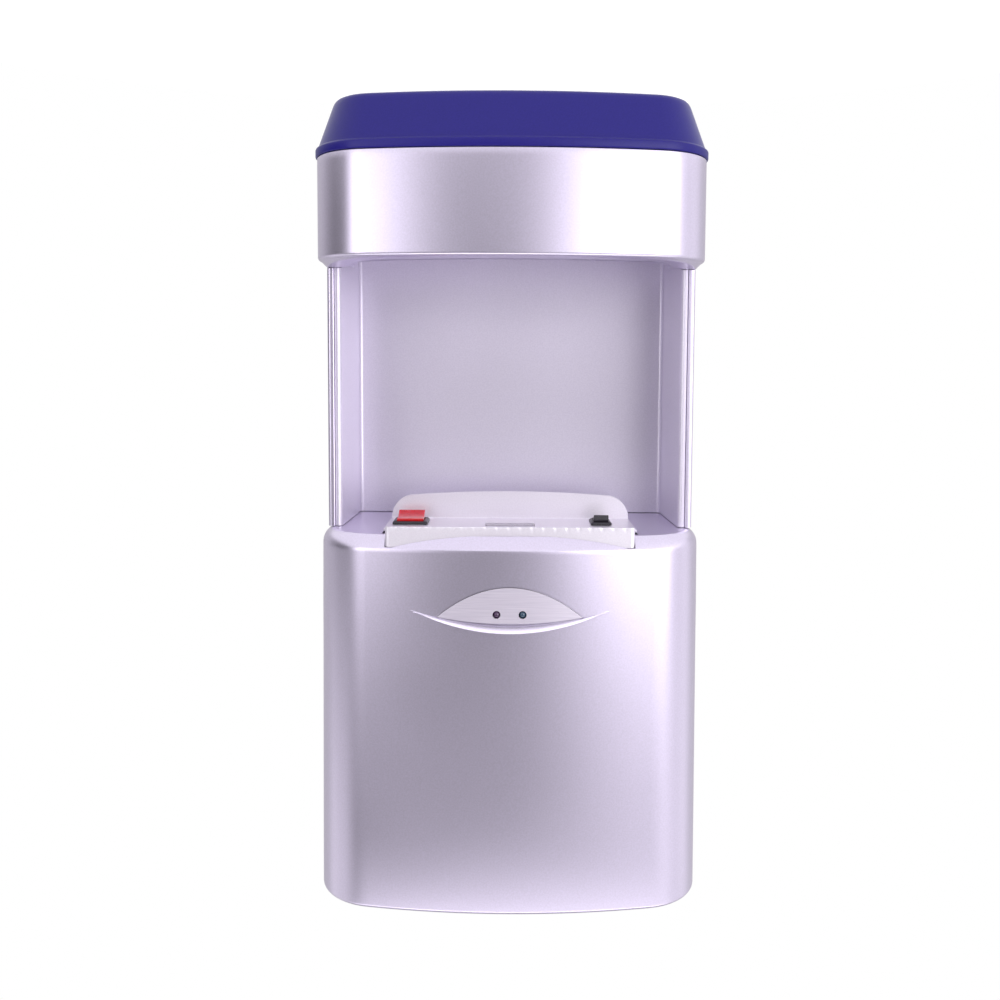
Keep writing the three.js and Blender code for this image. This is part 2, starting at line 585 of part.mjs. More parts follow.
function drainTray() {
  const side = TRAY_HALF - COLUMN_HALF;
  const outer = bowedBody(TRAY_SIZE, 0, [
    [TRAY_LOW, 0, 0, 0], [TRAY_RIM - 3, 0, 0, 0], [TRAY_RIM - 0.8, 0.9, 0.9, 0],
    [TRAY_RIM, 2.4, 2.4, 0], [TRAY_DECK, side, side, 0],
  ]);
  const under = bowedBody(TRAY_SIZE, 3, [[TRAY_LOW - 1, 0, 0, 3], [TRAY_CEILING, 0, 0, 3]]);
  const above = 140; // clear of everything on the tray
  const rimY = FRONT_Y + 2.4;
  const overRim = alongX(polygon([
    [rimY - 20, TRAY_RIM], [rimY, TRAY_RIM], [COLUMN_FRONT_Y, TRAY_DECK],
    [COLUMN_FRONT_Y, above], [rimY - 20, above],
  ]), ...WIDE_X);
  const ledgeHalf = CHEEK_FRONT_HALF + CHEEK_THICK + CHEEK_LIP + GAP;
  const ledge = alongX(polygon([
    [COLUMN_FRONT_Y, TRAY_DECK], [PANEL_Y, BASIN_BACK], [-20, BASIN_BACK],
    [-20, above], [COLUMN_FRONT_Y, above],
  ]), -ledgeHalf, ledgeHalf);
  const basinY = [BASIN_FRONT_Y, PANEL_Y + SKIN];
  const basinSize = { half: BASIN_HALF, front: basinY[0], back: basinY[1], corner: BASIN_CORNER };
  const basinFloor = polygon([
    [basinY[0], DRAIN.floor + 9], [basinY[0] + 11, DRAIN.floor + 4.5], [DRAIN.y, DRAIN.floor],
    [basinY[1], DRAIN.floor + 2], [basinY[1], above], [basinY[0], above],
  ]);
  const basinPlan = bowedBody(basinSize, 0, [[90, 0, 0, 0], [150, 0, 0, 0]]);
  const basin = alongX(basinFloor, -BASIN_HALF, BASIN_HALF).intersect(basinPlan);
  const behind = box([-134.2, 134.2], [PANEL_Y + SKIN + GAP, 0], [BASIN_BACK, above]);
  let tray = outer.subtract(overRim).subtract(ledge).subtract(basin).subtract(under);
  tray = tray.subtract(behind);
  tray = tray.subtract(rod('z', DRAIN.radius, 80, 120, 0, DRAIN.y, 20));
  tray = tray.subtract(rod('z', DRAIN.radius + 4, DRAIN.seat, 120, 0, DRAIN.y, 20));
  for (const way of [-1, 1]) {
    tray = tray.subtract(rod('y', 2.2, -12, -5, way * TRAY_SCREW.x, TRAY_SCREW.z, 12));
  }
  return tray;
}

function drainStrainer() {
  let disc = rod('z', DRAIN.radius + 3.7, DRAIN.seat + GAP, DRAIN.floor - 0.1, 0, DRAIN.y, 24);
  for (let i = 0; i < 6; i += 1) {
    const angle = i * Math.PI / 3;
    disc = disc.subtract(rod('z', 1.8, 99, 102, 5.6 * Math.cos(angle), DRAIN.y + 5.6 * Math.sin(angle), 8));
  }
  return disc.subtract(rod('z', 1.8, 99, 102, 0, DRAIN.y, 8));
}

// ---- Tank and its rails ----
const TANK_SIZE = {
  half: TRAY_HALF + TANK_PROUD,
  front: FRONT_Y - TANK_PROUD,
  back: TANK_BACK_Y,
  corner: CORNER_RADIUS + TANK_PROUD,
};

function drainTank() {
  const outer = bowedBody(TANK_SIZE, 0, [
    [0, 17.5, 16.5, 6], [1.2, 15.2, 14.2, 4], [4, 13.2, 12, 2.5], [TANK_LIP - 0.8, 2.2, 2, 0],
    [TANK_LIP, 0.4, 0.4, 0], [TANK_LIP + 0.8, 0, 0, 0], [TANK_TOP - 0.6, 0, 0, 0], [TANK_TOP, 0.6, 0.6, 0],
  ]);
  const hollow = bowedBody(TANK_SIZE, SKIN, [
    [SKIN, 14, 12.8, 6], [6, 11.6, 10.6, 4.5], [TANK_LIP - 0.8, 2.2, 2, SKIN],
    [TANK_TOP + 1, 1, 1, SKIN],
  ]);
  let tank = outer.subtract(hollow);
  const ledgeZ = [RAIL_FOOT + 2.2 + GAP, RAIL_FOOT + 2.2 + GAP + 2.5];
  for (const side of [-1, 1]) {
    const ledgeX = side > 0 ? [RAIL_X + 5, 141] : [-141, -RAIL_X - 5];
    const ledge = box(ledgeX, [RAIL_FRONT_Y + 8, TANK_BACK_Y - 2], ledgeZ).intersect(outer);
    const notchX = side > 0 ? [RAIL_X - 3, RAIL_X + 17] : [-RAIL_X - 17, -RAIL_X + 3];
    tank = tank.add(ledge).subtract(box(notchX, [-13, 0], [RAIL_FOOT - 1.5, 60]));
  }
  return tank;
}

// Folded strip: flange screwed under the tray, web down into the tank, foot turned outwards.
function tankRail(side) {
  const ends = (near, far) => (side > 0 ? [near, far] : [-far, -near]);
  const y = [RAIL_FRONT_Y, -11];
  const top = TRAY_CEILING - GAP;
  const web = box(ends(RAIL_X, RAIL_X + 2), y, [RAIL_FOOT, top]);
  const flange = box(ends(RAIL_X - 12, RAIL_X + 1), y, [top - 2, top]);
  const foot = box(ends(RAIL_X + 1, RAIL_X + 13), y, [RAIL_FOOT, RAIL_FOOT + 2.2]);
  return web.add(flange).add(foot);
}

function panScrew(x, z, headY, tipY) {
  const head = rod('y', 3.6, headY - 2, headY, x, z, 14);
  return head.add(rod('y', 1.8, headY - 1, tipY, x, z, 10));
}

// ---- Blower ----
// Growing spiral around the impeller, then a straight outlet that points down.
function scrollOutline(inset, outletLow) {
  const start = -2 * Math.PI / 3;
  const turn = 5 * Math.PI / 3;
  const steps = 30;
  const points = [];
  for (let i = 0; i <= steps; i += 1) {
    const angle = start + turn * i / steps;
    const radius = SCROLL_START + SCROLL_GROWTH * i / steps - inset;
    points.push([radius * Math.cos(angle), FAN_HEIGHT + radius * Math.sin(angle)]);
  }
  points.push([OUTLET_LEFT + inset, outletLow]);
  points.push([OUTLET_RIGHT - inset, outletLow]);
  return polygon(points);
}

function blowerCase() {
  const outer = alongY(scrollOutline(0, OUTLET_LOW), SCROLL_FRONT_Y, SCROLL_BACK_Y);
  const innerY = [SCROLL_FRONT_Y - 1, SCROLL_BACK_Y - DUCT_SKIN];
  const inner = alongY(scrollOutline(DUCT_SKIN, OUTLET_LOW - 2), ...innerY);
  return outer.subtract(inner).subtract(rod('y', SHAFT_RADIUS + 4, -90, -60, 0, FAN_HEIGHT, 20));
}

function blowerCover() {
  const front = SCROLL_FRONT_Y - GAP;
  const plate = alongY(scrollOutline(0, OUTLET_LOW), front - 2, front);
  const lip = rod('y', 40, front - 6, front - 1, 0, FAN_HEIGHT, 32);
  return plate.add(lip).subtract(rod('y', 36, -130, -100, 0, FAN_HEIGHT, 32));
}

function impellerBlade(index) {
  const blade = new THREE.Shape();
  blade.moveTo(20, -1);
  blade.quadraticCurveTo(40, 2, 52, 18);
  blade.lineTo(53, 16.2);
  blade.quadraticCurveTo(42, 0, 20, -2.6);
  const geometry = new THREE.ExtrudeGeometry(blade, { depth: 22, bevelEnabled: false, curveSegments: 4 });
  geometry.rotateX(Math.PI / 2);
  geometry.rotateY(2 * Math.PI * index / BLADES);
  geometry.translate(0, -78.5, FAN_HEIGHT);
  return solid(geometry);
}

function impeller() {
  let body = rod('y', IMPELLER_RADIUS, -79.5, -77.5, 0, FAN_HEIGHT, 40);
  body = body.add(rod('y', HUB_RADIUS, -99, -78, 0, FAN_HEIGHT, 20));
  const shroud = rod('y', IMPELLER_RADIUS, -101.5, -100, 0, FAN_HEIGHT, 40);
  body = body.add(shroud.subtract(rod('y', EYE_RADIUS, -110, -90, 0, FAN_HEIGHT, 32)));
  for (let i = 0; i < BLADES; i += 1) {
    body = body.add(impellerBlade(i));
  }
  return body.subtract(rod('y', SHAFT_RADIUS + GAP, -110, -70, 0, FAN_HEIGHT, 20));
}

function motorCan() {
  let can = rod('y', MOTOR_RADIUS, -70, -14, 0, FAN_HEIGHT, 36);
  can = can.add(rod('y', 12, -73, -69, 0, FAN_HEIGHT, 24));
  can = can.subtract(rod('y', SHAFT_RADIUS + GAP, -80, -58, 0, FAN_HEIGHT, 20));
  for (let i = 0; i < 6; i += 1) {
    const angle = i * Math.PI / 3;
    const x = 22 * Math.cos(angle);
    const z = FAN_HEIGHT + 22 * Math.sin(angle);
    can = can.subtract(rod('y', 4.5, -24, -10, x, z, 10));
  }
  return can;
}

function motorShaft() {
  return rod('y', SHAFT_RADIUS, -106, -58.5, 0, FAN_HEIGHT, 20);
}

function motorMount() {
  const ring = rod('y', MOTOR_RADIUS + 10, SCROLL_BACK_Y + GAP, -62, 0, FAN_HEIGHT, 32);
  return ring.subtract(rod('y', MOTOR_RADIUS + GAP, -73.9, -50, 0, FAN_HEIGHT, 36));
}

// Three arms that tie the blower case to the chassis back plate.
function motorCradle() {
  let ring = rod('y', CRADLE.radius, CRADLE.front, CRADLE.back, 0, FAN_HEIGHT, 32);
  ring = ring.subtract(rod('y', MOTOR_RADIUS + 1, -70, -50, 0, FAN_HEIGHT, 32));
  for (const degrees of [-60, 90, 240]) {
    const angle = THREE.MathUtils.degToRad(degrees);
    const x = CRADLE.arms * Math.cos(angle);
    const z = FAN_HEIGHT + CRADLE.arms * Math.sin(angle);
    ring = ring.add(rod('y', CRADLE.armRadius, CRADLE.back - 2, PLATE_FRONT_Y - GAP, x, z, 12));
  }
  return ring;
}

// ---- Heater and ducts ----
function heaterDuct() {
  const top = OUTLET_LOW - GAP;
  const front = SCROLL_FRONT_Y - GAP - 2;
  const outer = box([OUTLET_LEFT, OUTLET_RIGHT], [front, SCROLL_BACK_Y], [HEATER_LOW, top]);
  const innerX = [OUTLET_LEFT + DUCT_SKIN, OUTLET_RIGHT - DUCT_SKIN];
  const innerY = [front + DUCT_SKIN, SCROLL_BACK_Y - DUCT_SKIN];
  return outer.subtract(box(innerX, innerY, [HEATER_LOW - 5, top + 5]));
}

const HEATER = {
  x: (OUTLET_LEFT + OUTLET_RIGHT) / 2, y: -94, halfX: 14, halfY: 8.5, footX: 22.6, mica: 1.4,
  coilX: 21, coilY: 16, low: 378, high: 422, cutout: 400,
};

function heaterFrame() {
  const z = [HEATER.low, HEATER.high];
  const thin = HEATER.mica / 2;
  const sheetY = [HEATER.y - thin, HEATER.y + thin];
  const foot = box([HEATER.x - HEATER.footX, HEATER.x + HEATER.footX], sheetY, [z[0] - 4, z[0] + 0.5]);
  let frame = box([HEATER.x - HEATER.halfX, HEATER.x + HEATER.halfX], sheetY, z).add(foot);
  for (const step of [-1, 0, 1]) {
    const x = HEATER.x + step * (HEATER.halfX - 1);
    frame = frame.add(box([x - thin, x + thin], [HEATER.y - HEATER.halfY, HEATER.y + HEATER.halfY], z));
  }
  return frame;
}

// Wire wound in oval turns around the mica frame.
function heaterCoil() {
  const turns = 5;
  const perTurn = 12;
  const points = [];
  for (let i = 0; i <= turns * perTurn; i += 1) {
    const angle = 2 * Math.PI * i / perTurn;
    const z = HEATER.low + 4 + 36 * i / (turns * perTurn);
    points.push([HEATER.x + HEATER.coilX * Math.cos(angle), HEATER.y + HEATER.coilY * Math.sin(angle), z]);
  }
  return wire(points, 0.8, 6, turns * 15);
}

function thermalCutout() {
  const front = SCROLL_FRONT_Y - 2 * GAP - 2;
  const disc = rod('y', 8, front - 4, front, HEATER.x, HEATER.cutout, 20);
  return disc.add(rod('y', 5.5, front - 9, front - 3, HEATER.x, HEATER.cutout, 20));
}

function airDuct() {
  const top = HEATER_LOW - GAP;
  const low = NOZZLE_TOP + GAP;
  const backY = SCROLL_BACK_Y;
  const frontY = SCROLL_FRONT_Y - GAP - 2;
  const outer = taper([
    [low, -NOZZLE_HALF + 2, NOZZLE_HALF - 2, NOZZLE_NECK_Y, NOZZLE_BACK_Y],
    [top, OUTLET_LEFT, OUTLET_RIGHT, frontY, backY],
  ]);
  const mouth = [-NOZZLE_HALF + 4, NOZZLE_HALF - 7, NOZZLE_NECK_Y + 2, NOZZLE_BACK_Y - 2];
  const throat = [OUTLET_LEFT + 2, OUTLET_RIGHT - 5, frontY + 3, backY - 3];
  return outer.subtract(taper([
    [low - 1, ...mouth], [low + 0.5, ...mouth], [top - 0.5, ...throat], [top + 1, ...throat],
  ]));
}

// ---- Electrics ----
const BOARD = { x: [20, 118], y: [-30, -28.4], z: [345, 415] };

function transformer() {
  const y = [BOARD.y[0] - GAP - 28, BOARD.y[0] - GAP];
  return box([30, 62], y, [362, 394]).add(box([26, 66], [y[0] + 8, y[1] - 6], [366, 390]));
}

function terminalBlock() {
  const back = BOARD.y[0] - GAP;
  let block = box([92, 114], [back - 14, back], [386, 410]);
  for (const z of [391, 398, 405]) {
    block = block.subtract(rod('y', 2, back - 20, back - 8, 103, z, 10));
  }
  return block;
}

function cableGrommet() {
  const neck = rod('y', GROMMET.hole - GAP, PLATE_FRONT_Y - 1, -2.8, GROMMET.x, GROMMET.z, 20);
  const collarY = [PLATE_FRONT_Y - GAP - 2.5, PLATE_FRONT_Y - GAP];
  const collar = rod('y', GROMMET.hole + 3, ...collarY, GROMMET.x, GROMMET.z, 20);
  return neck.add(collar).subtract(rod('y', 3.5, -20, 0, GROMMET.x, GROMMET.z, 16));
}

// ---- Wall bracket ----
function wallBracket() {
  const span = [BRACKET_HEIGHT - BRACKET.reach, BRACKET_HEIGHT + BRACKET.reach];
  let plate = box([-BRACKET.half, BRACKET.half], [-BRACKET.thick, 0], span);
  for (const side of [-1, 1]) {
    for (const z of [BRACKET_HEIGHT - BRACKET.holeZ, BRACKET_HEIGHT + BRACKET.holeZ]) {
      plate = plate.subtract(rod('y', BRACKET.holeRadius, -5, 2, side * BRACKET.holeX, z, 16));
    }
    const x = [side * HOOK_X - 14, side * HOOK_X + 14];
    const low = HOOK_HEIGHT - BRACKET.thick;
    const shelf = box(x, [-HOOK_REACH, -1], [low, HOOK_HEIGHT]);
    const tab = box(x, [-HOOK_REACH, BRACKET.thick - HOOK_REACH], [low, HOOK_HEIGHT + 15]);
    plate = plate.add(shelf).add(tab);
  }
  return plate;
}

function wallPad(x) {
  return rod('y', PAD.radius, -PAD.thick, 0, x, PAD.z, 20);
}

// ---- Assembly ----
add('wall_bracket', wallBracket(), steel());
add('wall_pad_left', wallPad(-PAD.x), black());
add('wall_pad_right', wallPad(PAD.x), black());
add('rear_chassis', rearChassis(), silver());
add('recess_liner', recessLiner(), silver());
add('head_cover', headCover(), silver());
add('cover_screw_left', coverScrew(-1, 0), steel());
add('cover_screw_right', coverScrew(1, 0), steel());
add('nozzle_bar', nozzleBar(), silver());
add('control_plate', controlPlate(), glossSilver());
add('power_switch_body', switchBody(POWER_SWITCH), black());
add('power_rocker', rocker(POWER_SWITCH), red());
add('heater_switch_body', switchBody(HEATER_SWITCH), black());
add('heater_rocker', rocker(HEATER_SWITCH), black());
add('sensor_window', sensorWindow(), black());
add('sensor_module', sensorModule(), black());
add('indicator_label', indicatorLabel(), silver());
add('led_in_use', ledLamp(-LED_X), finish(0x2f6a70, 0.2));
add('led_power', ledLamp(LED_X), finish(0x4a2748, 0.2));
add('indicator_board', indicatorBoard(), boardGreen());

add('drain_tray', drainTray(), silver());
add('drain_strainer', drainStrainer(), steel());
add('tray_screw_left', panScrew(-TRAY_SCREW.x, TRAY_SCREW.z, -10 - GAP, -4), steel());
add('tray_screw_right', panScrew(TRAY_SCREW.x, TRAY_SCREW.z, -10 - GAP, -4), steel());
add('tank_rail_left', tankRail(-1), steel());
add('tank_rail_right', tankRail(1), steel());
add('drain_tank', drainTank(), blue());

add('blower_case', blowerCase(), grey());
add('blower_cover', blowerCover(), grey());
add('impeller', impeller(), grey());
add('motor_shaft', motorShaft(), steel());
add('motor_can', motorCan(), steel());
add('motor_mount', motorMount(), black());
add('motor_cradle', motorCradle(), grey());
add('heater_duct', heaterDuct(), grey());
add('heater_frame', heaterFrame(), mica());
add('heater_coil', heaterCoil(), copper());
add('thermal_cutout', thermalCutout(), steel());
add('air_duct', airDuct(), grey());

add('control_board', box(BOARD.x, BOARD.y, BOARD.z), boardGreen());
add('transformer', transformer(), copper());
add('capacitor', rod('z', 9, 354, 384, 80, BOARD.y[0] - GAP - 9.2, 20), black());
add('terminal_block', terminalBlock(), finish(0xd8d4cc, 0.5));
add('cable_grommet', cableGrommet(), black());
add('intake_filter_left', box([-FILTER.x[1], -FILTER.x[0]], FILTER.y, FILTER.z), grey());
add('intake_filter_right', box(FILTER.x, FILTER.y, FILTER.z), grey());

dryer.position.z = -BRACKET_HEIGHT;
const placed = new THREE.Group();
placed.add(dryer);
export default placed;
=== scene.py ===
"""Looks of the wall-hung hand dryer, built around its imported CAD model.

Sizes here are millimetres, and heights are above the drain tank's underside, as in the part's source.
"""
import math

import bmesh
import bpy
import numpy as np
from mathutils import Euler, Matrix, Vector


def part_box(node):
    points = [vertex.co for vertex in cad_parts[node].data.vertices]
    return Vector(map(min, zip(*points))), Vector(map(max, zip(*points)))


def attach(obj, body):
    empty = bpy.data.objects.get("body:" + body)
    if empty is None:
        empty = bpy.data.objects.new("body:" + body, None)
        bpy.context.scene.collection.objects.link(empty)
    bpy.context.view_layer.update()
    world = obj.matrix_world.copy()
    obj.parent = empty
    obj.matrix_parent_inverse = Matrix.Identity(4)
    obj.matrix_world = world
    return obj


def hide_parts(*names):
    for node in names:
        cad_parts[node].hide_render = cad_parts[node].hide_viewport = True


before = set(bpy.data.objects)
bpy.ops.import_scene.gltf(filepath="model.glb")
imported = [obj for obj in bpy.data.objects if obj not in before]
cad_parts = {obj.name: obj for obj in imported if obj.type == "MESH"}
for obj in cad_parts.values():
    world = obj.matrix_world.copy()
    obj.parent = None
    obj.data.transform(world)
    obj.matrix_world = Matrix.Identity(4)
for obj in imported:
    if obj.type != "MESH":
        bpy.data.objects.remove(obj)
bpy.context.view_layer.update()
scene = bpy.context.scene

MM = 0.001
ORIGIN_HEIGHT = -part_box("drain_tank")[0].z / MM  # the frame's origin above the tank's underside


def extent(node):
    """(x0, x1, y0, y1, h0, h1) of a CAD node, in millimetres and heights."""
    low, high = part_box(node)
    x, y, z = [(low[i] / MM, high[i] / MM) for i in range(3)]
    return (*x, *y, z[0] + ORIGIN_HEIGHT, z[1] + ORIGIN_HEIGHT)


# ---- Mesh helpers ----
def make(name, points, faces):
    """An object from points in millimetres, its faces turned outwards."""
    scaled = np.asarray(points, dtype=float) * MM
    scaled[:, 2] -= ORIGIN_HEIGHT * MM
    mesh = bpy.data.meshes.new(name)
    mesh.from_pydata(scaled.tolist(), [], faces)
    form = bmesh.new()
    form.from_mesh(mesh)
    bmesh.ops.remove_doubles(form, verts=form.verts, dist=1e-7)
    bmesh.ops.recalc_face_normals(form, faces=form.faces)
    form.to_mesh(mesh)
    form.free()
    piece = bpy.data.objects.new(name, mesh)
    scene.collection.objects.link(piece)
    return piece


def loft(name, rings, closed=False):
    """Skin over rings of equal length, with an end face on the first and last unless closed."""
    rings = np.asarray(rings, dtype=float)
    count, size = rings.shape[:2]
    faces = []
    for i in range(count if closed else count - 1):
        near, far = i * size, (i + 1) % count * size
        faces += [(near + j, near + (j + 1) % size, far + (j + 1) % size, far + j) for j in range(size)]
    if not closed:
        faces.append(tuple(range(size)))
        faces.append(tuple(range((count - 1) * size, count * size)))
    return make(name, rings.reshape(-1, 3), faces)


def boxes(name, *ranges):
    """One object of separate boxes, each ((x0, x1), (y0, y1), (h0, h1))."""
    points, faces = [], []
    for x, y, h in ranges:
        k = len(points)
        points += [(a, b, c) for c in h for b in y for a in x]
        faces += [tuple(k + i for i in face) for face in (
            (0, 2, 3, 1), (4, 5, 7, 6), (0, 1, 5, 4), (2, 6, 7, 3), (0, 4, 6, 2), (1, 3, 7, 5))]
    return make(name, points, faces)


def rods(name, axis, *rows, sides=32):
    """Separate round rods along an axis, each (radius, start, end, a, b) with a, b on the other two axes.

    A sixth number is how far the rod's end is out of line on the second of those axes.
    """
    points, faces = [], []
    order = {"x": (2, 0, 1), "y": (0, 2, 1), "z": (0, 1, 2)}[axis]
    for radius, start, end, a, b, *drift in rows:
        k = len(points)
        for at, shift in ((start, 0.0), (end, drift[0] if drift else 0.0)):
            for i in range(sides):
                turn = 2 * math.pi * i / sides
                raw = (a + radius * math.cos(turn), b + shift + radius * math.sin(turn), at)
                points.append(tuple(raw[order[n]] for n in range(3)))
        far = k + sides
        faces += [(k + i, k + (i + 1) % sides, far + (i + 1) % sides, far + i) for i in range(sides)]
        faces += [tuple(range(k, far)), tuple(range(far, far + sides))]
    return make(name, points, faces)


def prism(name, outline, axis, start, end):
    """Outline on the other two axes, in their XYZ order, pushed along an axis."""
    slot = "xyz".index(axis)
    return loft(name, [[(*pair[:slot], at, *pair[slot:]) for pair in outline] for at in (start, end)])


def arc(centre, radius, start, end, steps):
    """Points on an arc, in degrees."""
    turns = np.radians(np.linspace(start, end, steps + 1))
    return [(centre[0] + radius * math.cos(t), centre[1] + radius * math.sin(t)) for t in turns]


def bake(piece):
    """Applies the piece's modifiers."""
    graph = bpy.context.evaluated_depsgraph_get()
    mesh = bpy.data.meshes.new_from_object(piece.evaluated_get(graph))
    old = piece.data
    piece.modifiers.clear()
    piece.data = mesh
    bpy.data.meshes.remove(old)


def combine(piece, operation, *others):
    """Adds, cuts or intersects the piece with others, which are used up."""
    for other in others:
        change = piece.modifiers.new("combine", "BOOLEAN")
        change.operation = operation
        change.solver = "MANIFOLD"
        change.object = other
        bake(piece)
        bpy.data.objects.remove(other)
    return piece


def round_edges(piece, width, segments=2, angle=35):
    bevel = piece.modifiers.new("round", "BEVEL")
    bevel.width = width * MM
    bevel.segments = segments
    bevel.limit_method = "ANGLE"
    bevel.angle_limit = math.radians(angle)
    bevel.miter_outer = "MITER_ARC"
    bake(piece)


def dress(piece, material, body, slot, *nodes, rounding=0.0, segments=2, sharp=38):
    """Rounds and smooths a piece, gives it its finish, and hangs it on its body in place of CAD nodes."""
    if rounding:
        round_edges(piece, rounding, segments)
    piece.data.shade_smooth()
    piece.data.set_sharp_from_angle(angle=math.radians(sharp))
    level = piece.modifiers.new("level", "WEIGHTED_NORMAL")
    level.keep_sharp = True
    piece.data.materials.clear()
    piece.data.materials.append(material)
    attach(piece, body)
    if nodes:
        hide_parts(*nodes)
    return piece


# ---- Plan outlines ----
BOW_RADIUS = 600.0


class Plan:
    """Closed outline: left side, round corner, bowed front, corner, right side, then the straight back."""

    def __init__(self, half, front, back, corner, steps=(6, 14, 40), stops=(0.0,), bow=BOW_RADIUS):
        side_steps, corner_steps, front_steps = steps
        self.back = back
        centre_x = half - corner
        bow_y = front + bow
        centre_y = bow_y - math.sqrt((bow - corner) ** 2 - centre_x ** 2)
        turn = math.degrees(math.atan2(centre_x, bow_y - centre_y))
        points, normals = [], []

        def sweep(cx, cy, radius, start, end, count):
            for a in np.radians(np.linspace(start, end, count + 1))[:-1]:
                points.append((cx + radius * math.cos(a), cy + radius * math.sin(a)))
                normals.append((math.cos(a), math.sin(a)))

        for y in np.linspace(back, centre_y, side_steps + 1)[:-1]:
            points.append((-half, y))
            normals.append((-1, 0))
        sweep(-centre_x, centre_y, corner, 180, 270 - turn, corner_steps)
        sweep(0, bow_y, bow, 270 - turn, 270 + turn, front_steps)
        sweep(centre_x, centre_y, corner, 270 + turn, 360, corner_steps)
        for y in np.linspace(centre_y, back, side_steps + 1):
            points.append((half, y))
            normals.append((1, 0))
        right = sorted((s for s in stops if s > 0), reverse=True)
        for x in [*right, *([0.0] if 0.0 in stops else []), *[-s for s in reversed(right)]]:
            points.append((x, back))
            normals.append((x / half, 0))
        self.points = np.array(points)
        self.normals = np.array(normals, dtype=float)

    def ring(self, height, side=0.0, ahead=None, behind=0.0):
        """The outline moved inwards by side on the sides, ahead on the front and behind on the back."""
        ahead = side if ahead is None else ahead
        nx, ny = self.normals.T
        at_back = self.points[:, 1] >= self.back - 1e-6
        inset = np.where(at_back, side, side * nx ** 2 + ahead * ny ** 2)
        xy = self.points - self.normals * inset[:, None]
        xy[at_back, 1] -= behind
        return np.column_stack([xy, np.broadcast_to(height, len(xy))])


# ---- Materials ----
def nodes_of(material):
    material.use_nodes = True
    tree = material.node_tree
    return tree, tree.nodes["Principled BSDF"]


def noise(tree, scale, detail=3.0, stretch=None):
    """Noise in the object's own metres; stretch squeezes it along an axis."""
    coords = tree.nodes.new("ShaderNodeTexCoord")
    source = coords.outputs["Object"]
    if stretch:
        mapping = tree.nodes.new("ShaderNodeMapping")
        mapping.inputs["Scale"].default_value = stretch
        tree.links.new(source, mapping.inputs["Vector"])
        source = mapping.outputs["Vector"]
    texture = tree.nodes.new("ShaderNodeTexNoise")
    texture.inputs["Scale"].default_value = scale
    texture.inputs["Detail"].default_value = detail
    tree.links.new(source, texture.inputs["Vector"])
    return texture.outputs["Fac"]


def spread(tree, source, low, high, start=0.3, end=0.7):
    """Maps a noise to a range of values."""
    node = tree.nodes.new("ShaderNodeMapRange")
    node.clamp = False
    for key, value in (("From Min", start), ("From Max", end), ("To Min", low), ("To Max", high)):
        node.inputs[key].default_value = value
    tree.links.new(source, node.inputs["Value"])
    return node.outputs["Result"]


def tint(tree, source, dark, light, start=0.3, end=0.7):
    """Maps a noise to colours between two."""
    ramp = tree.nodes.new("ShaderNodeValToRGB")
    ramp.color_ramp.elements[0].position = start
    ramp.color_ramp.elements[1].position = end
    ramp.color_ramp.elements[0].color = (*dark, 1)
    ramp.color_ramp.elements[1].color = (*light, 1)
    tree.links.new(source, ramp.inputs["Fac"])
    return ramp.outputs["Color"]


def relief(tree, shader, *layers):
    """Stacks bumps, each (height source, depth in mm, strength)."""
    below = None
    for source, depth, strength in layers:
        bump = tree.nodes.new("ShaderNodeBump")
        bump.inputs["Distance"].default_value = depth * MM
        bump.inputs["Strength"].default_value = strength
        tree.links.new(source, bump.inputs["Height"])
        if below:
            tree.links.new(below, bump.inputs["Normal"])
        below = bump.outputs["Normal"]
    tree.links.new(below, shader.inputs["Normal"])


def finish(name, dark, light, rough, metal=0.0, grain=(900.0, 0.02), patches=(9.0, 0.04), sockets=None,
           stretch=None):
    """Moulded or painted surface: fine grain in colour and relief, and slow patches in its roughness.

    The grain is (noise scale, depth in mm) and the patches are (noise scale, change in roughness).
    """
    material = bpy.data.materials.new(name)
    tree, shader = nodes_of(material)
    scale, depth = grain
    fine = noise(tree, scale, 2.0, stretch)
    slow_scale, change = patches
    slow = noise(tree, slow_scale, 2.0)
    tree.links.new(tint(tree, fine, dark, light), shader.inputs["Base Color"])
    tree.links.new(spread(tree, slow, rough - change, rough + change), shader.inputs["Roughness"])
    relief(tree, shader, (fine, depth, 0.5))
    shader.inputs["Metallic"].default_value = metal
    for key, value in (sockets or {}).items():
        shader.inputs[key].default_value = value
    return material


PAINT = {"Coat Weight": 0.2, "Coat Roughness": 0.15, "Coat IOR": 1.5}
CLEAR_LENS = {"Coat Weight": 0.6, "Coat Roughness": 0.05}
LIT_RED = {"Coat Weight": 0.5, "Coat Roughness": 0.06, "Emission Color": (1.0, 0.05, 0.035, 1),
           "Emission Strength": 0.06, "Subsurface Weight": 0.2, "Subsurface Scale": 0.004}
HAIRLINES = (0.02, 0.3, 1.0)  # brushed along X

silver = finish("silver_paint", (0.665, 0.61, 0.765), (0.725, 0.665, 0.84), 0.30, 0.85,
                (900.0, 0.003), (7.0, 0.015), PAINT)
panel_silver = finish("panel_paint", (0.685, 0.64, 0.765), (0.745, 0.70, 0.825), 0.38, 0.42,
                      (900.0, 0.005), (10.0, 0.03), PAINT)
gloss_silver = finish("gloss_paint", (0.82, 0.775, 0.87), (0.87, 0.825, 0.92), 0.31, 0.4,
                      (900.0, 0.002), (8.0, 0.02), PAINT)
label_silver = finish("label_film", (0.65, 0.60, 0.72), (0.75, 0.695, 0.81), 0.36, 0.55,
                      (1600.0, 0.002), (9.0, 0.02), PAINT, HAIRLINES)
tank_blue = finish("tank_blue", (0.012, 0.008, 0.165), (0.015, 0.010, 0.19), 0.36, 0.0,
                   (900.0, 0.004), (8.0, 0.03), {"Specular IOR Level": 0.3})
